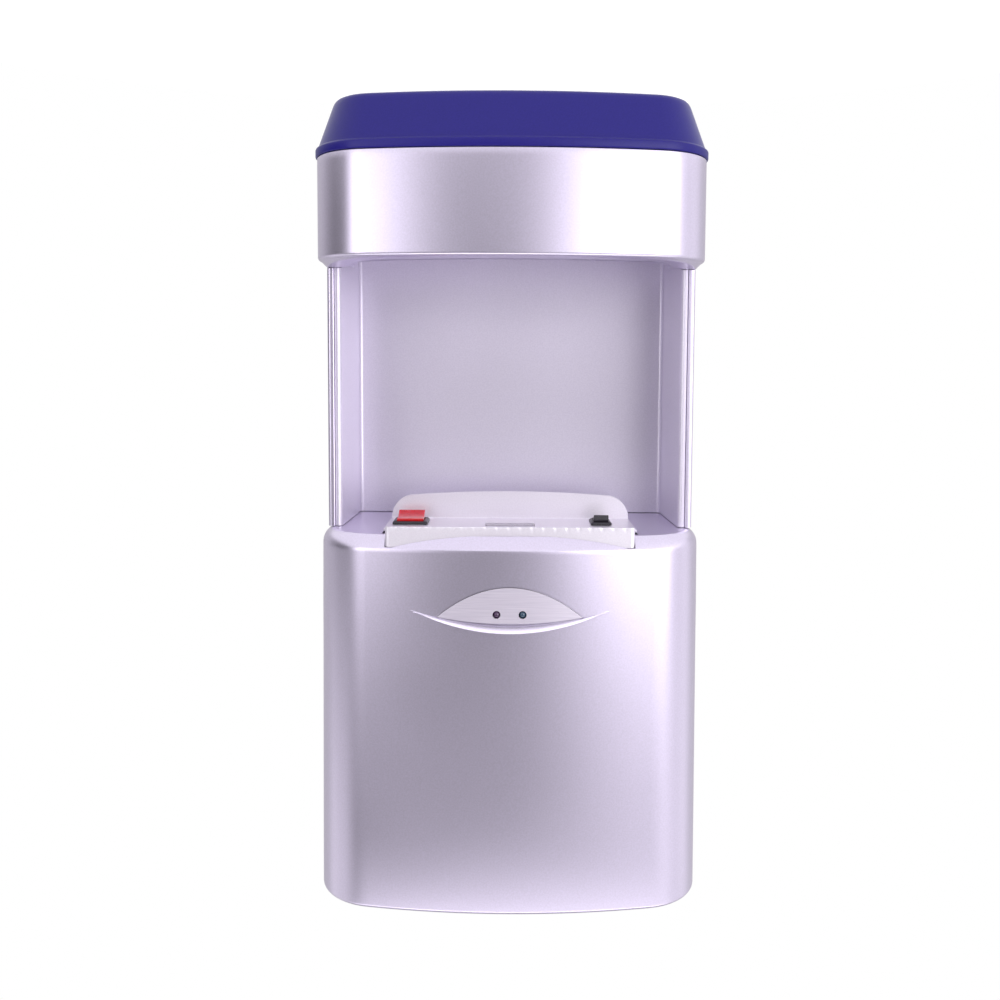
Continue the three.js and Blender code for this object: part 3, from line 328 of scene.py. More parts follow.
black_plastic = finish("black_plastic", (0.018, 0.016, 0.022), (0.03, 0.027, 0.036), 0.38,
                       grain=(1000.0, 0.03))
rubber = finish("rubber", (0.02, 0.02, 0.022), (0.035, 0.035, 0.038), 0.75, grain=(700.0, 0.06))
steel = finish("zinc_steel", (0.42, 0.42, 0.44), (0.58, 0.58, 0.60), 0.37, 1.0, (160.0, 0.006), (20.0, 0.06))
grey_plastic = finish("grey_plastic", (0.25, 0.24, 0.28), (0.31, 0.30, 0.34), 0.5, grain=(900.0, 0.04))
filter_foam = finish("filter_foam", (0.03, 0.03, 0.035), (0.09, 0.09, 0.10), 0.9, grain=(1200.0, 0.5))
winding = finish("winding", (0.42, 0.18, 0.07), (0.62, 0.30, 0.13), 0.36, 0.9, (500.0, 0.05))
mica = finish("mica", (0.36, 0.26, 0.12), (0.52, 0.40, 0.20), 0.55, grain=(260.0, 0.03))
board_green = finish("board_green", (0.01, 0.07, 0.03), (0.02, 0.11, 0.05), 0.42, grain=(220.0, 0.03))
terminal = finish("terminal", (0.55, 0.54, 0.50), (0.66, 0.65, 0.61), 0.45, grain=(900.0, 0.02))
# Black glass coloured pale grey: a painted sheen, as pale as the haze of light on it
black_glass_painted_sheen = finish("black_glass_painted_sheen", (0.36, 0.33, 0.40), (0.42, 0.39, 0.46), 0.20, grain=(900.0, 0.002))
teal_lens = finish("teal_lens", (0.018, 0.045, 0.085), (0.026, 0.062, 0.11), 0.14, 0.0,
                   (900.0, 0.004), (9.0, 0.03), CLEAR_LENS)
plum_lens = finish("plum_lens", (0.035, 0.010, 0.05), (0.06, 0.02, 0.08), 0.14, 0.0,
                   (900.0, 0.004), (9.0, 0.03), CLEAR_LENS)
red_lens = finish("red_lens", (0.50, 0.003, 0.007), (0.60, 0.006, 0.010), 0.2, 0.0,
                  (600.0, 0.01), (9.0, 0.03), LIT_RED)

# ---- Head: form shared by its cover and the chassis rim ----
_, _, _, JOINT_Y, HEAD_BOTTOM, HEAD_TOP = extent("head_cover")  # the cover ends at the parting line
_, _, COLUMN_FRONT, HEAD_BACK, CHASSIS_LOW, _ = extent("rear_chassis")
HEAD_HALF = 143.3
HEAD_FRONT = -165.0
HEAD_CREASE = 323.5
HEAD_DRAFT = 1.8  # how much narrower each side is at the crease
CORNER = 47.0
SKIN = 2.5
GAP = 0.3
BEVEL_FRONT = 6.0  # how far the front runs in below the crease
BEVEL_SIDE = 10.0
TOP_ROUND = 3.0
CROWN = 1.6  # how far the front leans back at its top
CROWN_SPAN = 60.0
CREASE_SOFT = 0.25  # the wall curves in by this much over its last few millimetres
CREASE_SPAN = 2.6
LENS_HALF, LENS_CORNER, LENS_HIGH, LENS_LOW = 52.5, 371.9, 376.6, 349.6
BROW_HALF, BROW_END, BROW_LOW, BROW_PEAK, BROW_PROUD = 70.0, 367.8, 378.1, 383.4, 1.0
BROW_START, BROW_STOP = 346.0, 392.0  # rows of points between these heights bend to the eyelid
BROW_STEP = 0.4  # height of its crisp lower edge
FOOT_ROWS = (0.4, 0.8, 1.3, 1.9, 2.6, 3.5, 6.5, 14.5, 21.5)  # rows of points above the crease
# Rows of points about the eyelid's lower edge
BROW_ROWS = (-1.1, -BROW_STEP, -0.2, 0, 0.2, 0.5, 1, 1.6, 2.3, 3, 3.7, 4.4, 4.9, 5.3, 5.9, 7.9)


def bow_y(x, front=HEAD_FRONT):
    """Y of a bowed front face at x."""
    return front + BOW_RADIUS - np.sqrt(BOW_RADIUS ** 2 - np.asarray(x) ** 2)


def arch(x, half, end, middle):
    """Height of an arch at x."""
    return end + (middle - end) * (1 - (np.asarray(x) / half) ** 2)


def brow_height(x, level):
    """Height at x of a level near the eyelid over the label, so that rows of points run along its edges."""
    x = np.clip(x, -BROW_HALF, BROW_HALF)
    low = arch(x, BROW_HALF, BROW_END, BROW_LOW)
    high = np.maximum(arch(x, BROW_HALF, BROW_END, BROW_PEAK), low + 2 * BROW_STEP)
    foot = BROW_LOW - BROW_STEP
    if level <= foot:
        return BROW_START + (level - BROW_START) * (low - BROW_STEP - BROW_START) / (foot - BROW_START)
    if level <= BROW_LOW:
        return low + level - BROW_LOW
    if level <= BROW_PEAK:
        return low + (level - BROW_LOW) * (high - low) / (BROW_PEAK - BROW_LOW)
    return high + (level - BROW_PEAK) * (BROW_STOP - high) / (BROW_STOP - BROW_PEAK)


def brow_proud(x, level):
    """How far the eyelid stands out: a crisp lower edge under a soft slope."""
    inside = np.clip(1 - (x / BROW_HALF) ** 2, 0, 1)
    if level < BROW_LOW:
        rise = max(0.0, (level - BROW_LOW + BROW_STEP) / BROW_STEP)
    else:
        down = max(0.0, (BROW_PEAK - level) / (BROW_PEAK - BROW_LOW))
        rise = 0.45 * down + 0.55 * math.sin(down * math.pi / 2)
    return BROW_PROUD * np.sqrt(inside) * rise


def crown(height):
    """How far the front leans back at a height: soft above the crease and towards the top."""
    foot = CREASE_SOFT * max(0.0, 1 - (height - HEAD_CREASE) / CREASE_SPAN) ** 2
    return foot + CROWN * max(0.0, (height - HEAD_TOP + TOP_ROUND + CROWN_SPAN) / CROWN_SPAN) ** 2


def head_foot(outline, offset):
    """Rings of the underside's bevel: straight at the front, round at the sides."""
    side = outline.normals[:, 0] ** 2
    side_top = HEAD_CREASE + 2.0
    rings = []
    for t in np.linspace(0, 1, 15):
        turn = t * math.pi / 2
        run_in = 0.78 * (1 - t) + 0.22 * (1 - t) ** 2
        front_in = CREASE_SOFT + (BEVEL_FRONT - CREASE_SOFT) * run_in
        front_h = HEAD_BOTTOM + (HEAD_CREASE - HEAD_BOTTOM) * t
        side_in = HEAD_DRAFT + BEVEL_SIDE * (1 - math.sin(turn))
        side_h = HEAD_BOTTOM + (side_top - HEAD_BOTTOM) * (1 - math.cos(turn))
        height = front_h + (side_h - front_h) * side + offset * (1 - t)
        rings.append(outline.ring(height, side_in, front_in))
    return rings


def head_wall(outline, brow):
    """Rings from the crease up to the round edge at the top, with the eyelid over the label."""
    side = outline.normals[:, 0] ** 2
    top = HEAD_TOP - TOP_ROUND
    rows = [HEAD_CREASE + step for step in FOOT_ROWS]
    rows += list(np.arange(BROW_START, 376.0, 3.0))
    rows += [BROW_LOW + step for step in BROW_ROWS]
    rows += list(np.linspace(BROW_STOP, top, 24))
    rings = []
    for height in rows:
        draft = HEAD_DRAFT * (top - height) / (top - HEAD_CREASE)
        level = height + side * 2.0 * max(0.0, 1 - (height - HEAD_CREASE) / 10)
        ring = outline.ring(level, draft, crown(height))
        if brow:
            x = np.clip(ring[:, 0], -BROW_HALF, BROW_HALF)
            ahead = (outline.normals[:, 1] < -0.9) & (np.abs(ring[:, 0]) < BROW_HALF)
            proud = np.where(ahead, brow_proud(x, height), 0.0)
            ring[:, :2] += outline.normals * proud[:, None]
            if BROW_START < height < BROW_STOP:
                ring[:, 2] = brow_height(ring[:, 0], height)
        rings.append(ring)
    return rings


def head_form(name, offset, brow=False, steps=(8, 20, 60)):
    """The head's outer form, or an inner form that is offset inwards."""
    outline = Plan(HEAD_HALF - offset, HEAD_FRONT + offset, HEAD_BACK, CORNER - offset, steps,
                   bow=BOW_RADIUS - offset)
    rings = head_foot(outline, offset) + head_wall(outline, brow)
    radius = TOP_ROUND - 0.4 * offset
    for turn in np.radians(np.linspace(0, 90, 7))[1:]:
        inset = radius * (1 - math.cos(turn))
        height = HEAD_TOP - offset - radius * (1 - math.sin(turn))
        rings.append(outline.ring(height, inset, CROWN + inset))
    return loft(name, rings)


def lens_block(name, grow, front, depth, steps=72):
    """Lens-shaped block between a flat front and a back face that follows the head's bow."""
    half = LENS_HALF + grow
    xs = half * np.sin(np.linspace(-math.pi / 2, math.pi / 2, steps + 1))
    rings = []
    for x in xs[1:-1]:
        top = float(arch(x, half, LENS_CORNER, LENS_HIGH + grow))
        low = float(arch(x, half, LENS_CORNER, LENS_LOW - grow))
        ahead = front if front < HEAD_FRONT - 1 else float(bow_y(x)) + front - HEAD_FRONT
        behind = float(bow_y(x)) + depth
        rings.append([(x, ahead, low), (x, ahead, top), (x, behind, top), (x, behind, low)])
    return loft(name, rings)


WIDE = (-200, 200)  # wider than the whole dryer, for cutting right across it
TALL = (250, 650)  # lower and higher than the whole head
AHEAD = -175  # clear in front of the head
NX0, NX1, NY0, NY1, NOZZLE_LIP, NOZZLE_TOP = extent("nozzle_bar")
NOZZLE_BROW, NECK_Y = 322.4, -152.5
SCREW_X, SCREW_Y, SCREW_H = HEAD_HALF - HEAD_DRAFT, -36.0, 345.0
SEAT_RADIUS, SEAT_DEPTH = 4.4, 1.3
LED_X, LED_HEIGHT, LED_RADIUS = 9.3, 369.5, 2.5
HATCH_HALF, HATCH_FRONT, HATCH_BACK, HATCH_HEIGHTS = 92.8, -148.0, -88.7, (300, 318)
NOTCH_BACK = -140
RECESS_DEPTH = 1.3
LIP_DROP, LIP_DEPTH = 0.6, 0.35  # shallow step below the label's recess


def led_holes(name):
    ends = (HEAD_FRONT - 10, HEAD_FRONT + 15)
    return rods(name, "y", *[(LED_RADIUS + GAP, *ends, s * LED_X, LED_HEIGHT) for s in (-1, 1)])


def screw_seats(name):
    rows = []
    for s in (-1, 1):
        ends = sorted((s * (SCREW_X - SEAT_DEPTH), s * (SCREW_X + 6)))
        rows.append((SEAT_RADIUS, *ends, SCREW_Y, SCREW_H))
    return rods(name, "x", *rows)


cover = head_form("fine_head_cover", 0.0, True, (8, 20, 160))
combine(cover, "DIFFERENCE", head_form("hollow", SKIN))
combine(cover, "DIFFERENCE", boxes("behind", (WIDE, (JOINT_Y, 50), TALL)))
hatch = boxes("hatch", ((-HATCH_HALF, HATCH_HALF), (HATCH_FRONT, HATCH_BACK), HATCH_HEIGHTS))
notch = boxes("notch", ((NX0 - GAP, NX1 + GAP), (NY0 - GAP, NOTCH_BACK), (300, NOZZLE_BROW + GAP)))
lip = lens_block("lip", GAP, AHEAD, LIP_DEPTH)
lip.data.transform(Matrix.Translation((0, 0, -LIP_DROP * MM)))
recess = lens_block("recess", GAP, AHEAD, RECESS_DEPTH)
combine(cover, "DIFFERENCE", hatch, notch, lip, recess, led_holes("holes"), screw_seats("seats"))
dress(cover, silver, "housing", "silver_shell", "head_cover", rounding=0.25)

# ---- Chassis: rim of the head, back plate and two columns ----
COLUMN_HALF, COLUMN_FOOT, EDGE_IN = 137.0, 121.3, 131.8
PLATE_FRONT = -6.3
TONGUE_LOW = 326
LOUVRES = {"count": 15, "pitch": 11, "height": 5, "low": 400, "y": (-25, -11)}
HOOK_X, HOOK_SLOT_HALF, HOOK_SLOT_LOW, HOOK_HEIGHT = 60, 17, 408, 428
GROMMET_X, GROMMET_H, GROMMET_RADIUS = 124, 390, 7.0
TRAY_SCREW_X, TRAY_SCREW_H, TRAY_SCREW_RADIUS = 100, 75, 2.2


def column(name, s):
    """Bent wall with a turned-in front edge, rounded on the outside."""
    inner = COLUMN_HALF - SKIN
    shape = [(inner, PLATE_FRONT + 1), (COLUMN_HALF, PLATE_FRONT + 1)]
    outer_round, edge_round = 2.4, 1.0
    shape += arc((COLUMN_HALF - outer_round, COLUMN_FRONT + outer_round), outer_round, 0, -90, 6)
    shape += arc((EDGE_IN + edge_round, COLUMN_FRONT + edge_round), edge_round, -90, -180, 4)
    shape += [(EDGE_IN, COLUMN_FRONT + 3), (inner, COLUMN_FRONT + 3)]
    return prism(name, [(s * x, y) for x, y in shape], "z", COLUMN_FOOT, HEAD_BOTTOM - GAP)


chassis = head_form("fine_rear_chassis", 0.0)
combine(chassis, "INTERSECT", boxes("span", (WIDE, (JOINT_Y + GAP, 50), TALL)))
hollow = head_form("hollow", SKIN)
combine(hollow, "INTERSECT", boxes("span", (WIDE, (-60, PLATE_FRONT), TALL)))
combine(chassis, "DIFFERENCE", hollow)
tongue = head_form("tongue", SKIN + 0.4)
combine(tongue, "INTERSECT", boxes("span", (WIDE, (JOINT_Y - 10, JOINT_Y + 3), (TONGUE_LOW, TALL[1]))))
combine(tongue, "DIFFERENCE", head_form("lining", SKIN + 2.4))
plate_ranges = ((-COLUMN_HALF, COLUMN_HALF), (PLATE_FRONT, HEAD_BACK), (CHASSIS_LOW, HEAD_BOTTOM + 2))
combine(chassis, "UNION", boxes("plate", plate_ranges), column("column", -1), column("column", 1))
THROUGH = (-8, 0)  # through the back plate
slots = []
for s in (-1, 1):
    for i in range(LOUVRES["count"]):
        low = LOUVRES["low"] + LOUVRES["pitch"] * i
        slots.append((sorted((s * 130, s * 150)), LOUVRES["y"], (low, low + LOUVRES["height"])))
for x in (-HOOK_X, HOOK_X):
    slots.append(((x - HOOK_SLOT_HALF, x + HOOK_SLOT_HALF), THROUGH, (HOOK_SLOT_LOW, HOOK_HEIGHT + GAP)))
combine(chassis, "DIFFERENCE", boxes("slots", *slots))
rear_holes = [(GROMMET_RADIUS, *THROUGH, GROMMET_X, GROMMET_H)]
rear_holes += [(TRAY_SCREW_RADIUS, *THROUGH, x, TRAY_SCREW_H) for x in (TRAY_SCREW_X, -TRAY_SCREW_X)]
combine(chassis, "DIFFERENCE", rods("holes", "y", *rear_holes), screw_seats("seats"))
dress(chassis, silver, "housing", "silver_shell", "rear_chassis", rounding=0.25)
dress(tongue, grey_plastic, "housing", "silver_shell")
tongue.name = "fine_chassis_tongue"

# ---- Recess liner ----
PANEL_Y, CHEEK_BACK, CHEEK_FRONT, CHEEK = -42.0, 124.0, 128.0, 2.0
PANEL_ROUND, TIP_ROUND = 3.0, 3.2
LINER_SEAT = 104.0  # the tray's surface under the panel
LINER_HEIGHTS = (94, 314)


def liner_outline():
    """Right half of the liner's plan from the middle of its face round to the middle of its back."""
    corner = (CHEEK_BACK - PANEL_ROUND, PANEL_Y - PANEL_ROUND)
    face = [(0.0, PANEL_Y)] + arc(corner, PANEL_ROUND, 90, 3, 8)
    tip = arc((CHEEK_FRONT + TIP_ROUND / 2, COLUMN_FRONT + TIP_ROUND), TIP_ROUND, 183, 266, 8)
    lip_x = EDGE_IN - GAP
    bent = [(lip_x - 0.9, COLUMN_FRONT + 0.9), (lip_x, COLUMN_FRONT + 1.2), (lip_x, COLUMN_FRONT + 2.7),
            (CHEEK_FRONT + CHEEK, COLUMN_FRONT + TIP_ROUND)]
    back = [(CHEEK_BACK + CHEEK, PANEL_Y + 0.5), (CHEEK_BACK, PANEL_Y + SKIN), (0.0, PANEL_Y + SKIN)]
    return face + tip + bent + back


half_outline = liner_outline()
mirrored = [(-x, y) for x, y in reversed(half_outline[1:-1])]
liner = prism("fine_recess_liner", half_outline + mirrored, "z", *LINER_HEIGHTS)
foot = [(-130, 80), (-20, 80), (-20, LINER_SEAT + GAP), (PANEL_Y, LINER_SEAT + GAP),
        (COLUMN_FRONT, COLUMN_FOOT), (-130, COLUMN_FOOT)]
combine(liner, "DIFFERENCE", prism("below", foot, "x", -150, 150))
dress(liner, panel_silver, "housing", "silver_shell", "recess_liner", rounding=0.2)

# ---- Nozzle bar ----
BAR_ROUND = 3.0
JET_COUNT, JET_PITCH, JET_HALF = 21, 8.3, 2.6
FLUTE_RADIUS, FLUTE_DEPTH, FLUTE_TOP = 9.0, 0.42, 315.6
FLUTE_LEAN = -0.68  # they fade out towards the top
SLOPE_HIGH = 312.3  # the lip's underside rises to this height at the back

front_y = NY0 + BAR_ROUND
plan_bar = [(NX0, NY1)] + arc((NX0 + BAR_ROUND, front_y), BAR_ROUND, 180, 270, 8)
plan_bar += arc((NX1 - BAR_ROUND, front_y), BAR_ROUND, 270, 360, 8) + [(NX1, NY1)]
bar = prism("fine_nozzle_bar", plan_bar, "z", NOZZLE_LIP, NOZZLE_BROW)
combine(bar, "UNION", boxes("neck", ((NX0, NX1), (NECK_Y, NY1), (NOZZLE_BROW - 1, NOZZLE_TOP))))
slope = [(NY0 + 2, NOZZLE_LIP - 2), (NY1 + 1, NOZZLE_LIP - 2), (NY1 + 1, SLOPE_HIGH), (NY0 + 2, NOZZLE_LIP)]
combine(bar, "DIFFERENCE", prism("slope", slope, "x", -100, 100))
jets = [(i - JET_COUNT // 2) * JET_PITCH for i in range(JET_COUNT)]
slots = [((x - JET_HALF, x + JET_HALF), (NECK_Y + 2, NY1 - 2.5), (300, 316)) for x in jets]
combine(bar, "DIFFERENCE", boxes("jets", *slots))
flute_y = NY0 + FLUTE_DEPTH - FLUTE_RADIUS
flutes = [(FLUTE_RADIUS, NOZZLE_LIP - 1, FLUTE_TOP + 1, x, flute_y, FLUTE_LEAN) for x in jets]
combine(bar, "DIFFERENCE", rods("flutes", "z", *flutes, sides=96))
dress(bar, gloss_silver, "housing", "silver_shell", "nozzle_bar", rounding=0.3)

# ---- Control plate and visor ----
PX0, PX1, PY0, PY1, VISOR_LOW, PLATE_TOP = extent("control_plate")
SHEET = 2.0
PLATE_LOW = PLATE_TOP - SHEET
PLATE_SPAN = (305, 320)  # cuts right through the plate
VISOR_HALF, VISOR_CORNER, VISOR_BOW = 92.0, 15.0, 3.0
FOLD = 3.0  # outer radius of the fold between plate and visor
SWITCH_Y = -112.0
SWITCHES = {
    "power": {"x": 75.0, "bezel": (13.2, 11.4), "cavity": (10.3, 9.5), "pivot": 307.9, "lean": -15},
    "heater": {"x": -68.5, "bezel": (7.8, 11.4), "cavity": (5.9, 9.5), "pivot": 309.0, "lean": 15},
}
BEZEL_LAP = 1.0  # how far a bezel laps over the plate
SENSOR = ((-18.5, 18.5), (-127.5, -114.5))


def visor_low(x):
    """Height of the visor's lower edge at x: gently bowed, with round corners."""
    edge = VISOR_HALF - VISOR_CORNER
    low = VISOR_LOW + VISOR_BOW * (x / edge) ** 2
    over = max(0.0, abs(x) - edge)
    return low + VISOR_CORNER - math.sqrt(max(0.0, VISOR_CORNER ** 2 - over ** 2)) + 0.05 * over


def sheet_section(x):
    """Closed YZ section of the folded sheet at x."""
    low = visor_low(x)
    centre = (PY1 - FOLD, PLATE_TOP - FOLD)
    inner = arc(centre, FOLD - SHEET, 90, 0, 6)
    outer = arc(centre, FOLD, 0, 90, 6)
    return [(PY0, PLATE_LOW)] + inner + [(PY1 - SHEET, low), (PY1, low)] + outer + [(PY0, PLATE_TOP)]


def visor_columns():
    """Places across the visor, closer together at its round corners."""
    corner = VISOR_HALF - VISOR_CORNER * (1 - np.cos(np.linspace(0, math.pi / 2, 13)[:-1]))
    half = np.concatenate([corner, np.linspace(VISOR_HALF - VISOR_CORNER, 0, 13)])
    return np.unique(np.round(np.concatenate([half, -half]), 4))


def around(centre, half, inset=0.0):
    """(low, high) about a centre."""
    return centre - half + inset, centre + half - inset


sheet = loft("fine_control_plate", [[(x, y, h) for y, h in sheet_section(x)] for x in visor_columns()])
wings = boxes("wings", ((PX0, PX1), (PY0, PY1 - 3.5), (PLATE_LOW, PLATE_TOP)))
combine(sheet, "UNION", wings)
openings = [(*SENSOR, PLATE_SPAN)]
for data in SWITCHES.values():
    bezel_x, bezel_y = data["bezel"]
    openings.append((around(data["x"], bezel_x, BEZEL_LAP), around(SWITCH_Y, bezel_y, BEZEL_LAP), PLATE_SPAN))
combine(sheet, "DIFFERENCE", boxes("openings", *openings))
dress(sheet, gloss_silver, "housing", "silver_gloss", "control_plate", rounding=0.3)


# ---- Switches ----
def rounded_rectangle(cx, cy, half_x, half_y, radius, steps=5):
    points = []
    for sx, sy, start in ((1, 1, 0), (-1, 1, 90), (-1, -1, 180), (1, -1, 270)):
        centre = (cx + sx * (half_x - radius), cy + sy * (half_y - radius))
        points += arc(centre, radius, start, start + 90, steps)
    return points


BEZEL_TOP = PLATE_LOW - GAP
BEZEL_ROWS = ((0, 0), (1.0, 0), (1.8, -0.5), (2.2, -1.2))  # (below the bezel's top, change of its half size)
SWITCH_TOP = 328
# Rocker's section about its pivot, from the back over the dished face, for a reach of ROCKER_REACH
ROCKER_REACH = 11.2
ROCKER_SECTION = ((-7.7, 6.4), (-11.1, 1.6), (-10.8, -3.1), (-5.4, -2.15), (0, -1.6), (5.4, -2.15),
                  (10.8, -3.1), (11.1, 1.6), (7.7, 6.4))


def switch_shell(kind, x, bezel, cavity):
    """Bezel below the plate, cup above it and three blades on top."""
    bezel_x, bezel_y = bezel
    rings = []
    for below, grow in BEZEL_ROWS:
        outline = rounded_rectangle(x, SWITCH_Y, bezel_x + grow, bezel_y + grow, 1.8)
        rings.append([(a, b, BEZEL_TOP - below) for a, b in outline])
    shell = loft(f"fine_{kind}_switch_body", rings)
    inset = BEZEL_LAP + GAP
    cup = rounded_rectangle(x, SWITCH_Y, bezel_x - inset, bezel_y - inset, 1.0)
    combine(shell, "UNION", prism("cup", cup, "z", BEZEL_TOP - 0.5, SWITCH_TOP))
    well = rounded_rectangle(x, SWITCH_Y, *cavity, 0.6)
    combine(shell, "DIFFERENCE", prism("cavity", well, "z", 300, SWITCH_TOP - 4))
    blade_h = (SWITCH_TOP - 1, SWITCH_TOP + 1.8)
    blades = [(around(x, 2.4), around(SWITCH_Y + y, 0.4), blade_h) for y in (-5, 0, 5)]
    return combine(shell, "UNION", boxes("blades", *blades))


def rocker_key(kind, x, cavity, pivot, lean):
    """Rocker turned about its pivot to its place at rest."""
    cavity_x, cavity_y = cavity
    scale = (cavity_y - 0.6) / ROCKER_REACH
    cosine, sine = math.cos(math.radians(lean)), math.sin(math.radians(lean))
    turned = []
    for a, b in ROCKER_SECTION:
        a, b = a * scale, b * scale
        turned.append((SWITCH_Y + a * cosine - b * sine, pivot + a * sine + b * cosine))
    return prism(f"fine_{kind}_rocker", turned, "x", *around(x, cavity_x, 0.4))


ROCKER_LOOKS = {"power": (red_lens, "rocker_red"), "heater": (black_plastic, "black_plastic")}
for kind, data in SWITCHES.items():
    shell = switch_shell(kind, data["x"], data["bezel"], data["cavity"])
    dress(shell, black_plastic, "housing", "black_plastic", f"{kind}_switch_body", rounding=0.15)
    key = rocker_key(kind, data["x"], data["cavity"], data["pivot"], data["lean"])
    look, slot_name = ROCKER_LOOKS[kind]
    dress(key, look, f"{kind}_rocker", slot_name, f"{kind}_rocker", rounding=0.5, segments=3)

# ---- Sensor window ----
sx0, sx1, sy0, sy1, sh0, sh1 = extent("sensor_window")
pane = rounded_rectangle((sx0 + sx1) / 2, (sy0 + sy1) / 2, (sx1 - sx0) / 2, (sy1 - sy0) / 2, 1.5)
window = prism("fine_sensor_window", pane, "z", sh0, sh1)
# The window's pale grey is painted sheen over black glass
dress(window, black_glass_painted_sheen, "housing", "black_plastic", "sensor_window", rounding=0.2)

# ---- Indicator: label and two lamps ----
label = lens_block("fine_indicator_label", -0.45, HEAD_FRONT + 0.05, 1.0)
combine(label, "DIFFERENCE", led_holes("holes"))
dress(label, label_silver, "housing", "silver_shell", "indicator_label", rounding=0.12)
label.data.materials.append(black_plastic)  # black sides and back: painted shade for the dark groove round the label
for face in label.data.polygons:
    face.material_index = int(face.normal.y > -0.5)
LAMPS = (("led_in_use", -1, teal_lens, "led_teal"), ("led_power", 1, plum_lens, "led_plum"))
LAMP_TIP, LAMP_DOME, LAMP_END = 0.3, 2.2, 8.3  # how far it stands out, height of its dome, where it ends
for node, sign, look, slot_name in LAMPS:
    rings = []
    lens_tip = HEAD_FRONT - LAMP_TIP
    for turn in np.radians(np.linspace(6, 90, 9)):
        radius = LED_RADIUS * math.sin(turn)
        y = lens_tip + LAMP_DOME * (1 - math.cos(turn))
        rings.append([(sign * LED_X + a, y, LED_HEIGHT + b) for a, b in arc((0, 0), radius, 0, 345, 23)])
    stem = arc((0, 0), LED_RADIUS, 0, 345, 23)
    rings.append([(sign * LED_X + a, HEAD_FRONT + LAMP_END, LED_HEIGHT + b) for a, b in stem])
    dress(loft(f"fine_{node}", rings), look, "housing", slot_name, node)

# ---- Tray ----
_, TRAY_HALF, TRAY_FRONT, TRAY_BACK, TRAY_LOW, TRAY_DECK = extent("drain_tray")
RIM, CEILING = 116.5, 96.5
RIM_ROUND = 3.0
RIM_FLAT, RIM_SLOPE = 2.4, 4.6  # where the rim's top begins, and how far it then slopes
# Rows of points across the rim, and inside the basin's edge as (inset, drop) and (inset, lift off its floor)
RIM_ROWS = (RIM_FLAT, 3.0, 4.0, 5.2, 6.4, 7.0, 8.0, 10.0, 13.4, 13.8)
EDGE_ROWS = ((0.0, 0.0), (0.3, 0.05), (0.8, 0.5), (1.2, 1.4))
WALL_ROWS = ((2.0, 2.0), (3.0, 0.8), (5.0, 0.2), (8.0, 0.0))
LEDGE_FALL, LEDGE_RUN = 17, 75  # from the columns' front back to the panel
REAR_STEP_Y, REAR_STEP_HALF = -39.2, 134.2  # behind this the tray is low, to pass under the back panel
DRAIN_Y = -70.0
DRAIN_HEIGHT, DRAIN_RADIUS, DRAIN_SEAT = 99.2, 9, 13
BASIN_HALF, BASIN_FRONT, BASIN_BACK, BASIN_CORNER = 118.0, -156.0, -39.5, 30.0
BASIN_LOW, RISE_AHEAD, RISE_BEHIND = 101, 6.0, 1.3
tray_plan = Plan(TRAY_HALF, TRAY_FRONT, TRAY_BACK, CORNER, (16, 18, 60), stops=(0.0, 60.0, 134.1, 134.3))
basin_plan = Plan(BASIN_HALF, BASIN_FRONT, BASIN_BACK, BASIN_CORNER, (16, 18, 60),
                  stops=(0.0, 60.0, 117.8, 117.9))
SPREAD_Y = -80.0  # the points of round rings face the outline's points as seen from here
towards = tray_plan.points - np.array([0, SPREAD_Y])
towards /= np.linalg.norm(towards, axis=1)[:, None]


def circle(radius, height):
    """Round ring about the drain whose points face the tray outline's points."""
    return np.column_stack([np.array([0, DRAIN_Y]) + towards * radius, np.full(len(towards), height)])


def deck(ring, inset):
    """Top of the tray at each point of a ring."""
    x, y = np.abs(ring[:, 0]), ring[:, 1]
    slope_front = TRAY_FRONT + RIM_FLAT
    shoulder = RIM + (inset - RIM_FLAT) * (TRAY_DECK - RIM) / RIM_SLOPE
    front = RIM + (y - slope_front) * (TRAY_DECK - RIM) / (COLUMN_FRONT - slope_front)
    ledge = np.maximum(LINER_SEAT, TRAY_DECK - (y - COLUMN_FRONT) * LEDGE_FALL / LEDGE_RUN)
    height = np.minimum(np.minimum(shoulder, front), TRAY_DECK)
    inner = (y > COLUMN_FRONT) & (x < EDGE_IN)
    height = np.where(inner, np.minimum(height, ledge), height)
    return np.where((y > REAR_STEP_Y) & (x < REAR_STEP_HALF), LINER_SEAT, height)


def raised(ring, heights):
    ring = ring.copy()
    ring[:, 2] = heights
    return ring


def basin_floor(ring):
    """Dished floor that falls towards the drain from the front and from the back."""
    ahead = np.clip(DRAIN_Y - ring[:, 1], 0, None) / (DRAIN_Y - BASIN_FRONT)
    behind = np.clip(ring[:, 1] - DRAIN_Y, 0, None) / (BASIN_BACK - DRAIN_Y)
    return BASIN_LOW + RISE_AHEAD * ahead ** 2 + RISE_BEHIND * behind ** 2


rings = [circle(DRAIN_RADIUS, CEILING), tray_plan.ring(CEILING, 3, 3, 3), tray_plan.ring(TRAY_LOW, 3, 3, 3)]
rings += [tray_plan.ring(TRAY_LOW, 0.5, 0.5, 0.5), tray_plan.ring(TRAY_LOW + 0.5)]
rings += [tray_plan.ring(h) for h in np.linspace(TRAY_LOW + 6, RIM - RIM_ROUND, 9)]
for turn in np.radians(np.linspace(0, 80, 7))[1:]:
    inset = 2.6 * (1 - math.cos(turn))
    rings.append(tray_plan.ring(RIM - RIM_ROUND + RIM_ROUND * math.sin(turn), inset))
for i in range(4, len(rings)):
    x, y, height = rings[i].T
    behind = (y > REAR_STEP_Y) & (np.abs(x) < REAR_STEP_HALF)
    rings[i] = raised(rings[i], np.where(behind, np.minimum(height, LINER_SEAT), height))
for inset in RIM_ROWS:
    ring = tray_plan.ring(0.0, inset)
    rings.append(raised(ring, deck(ring, inset)))
edge = basin_plan.ring(0.0, 0.0)
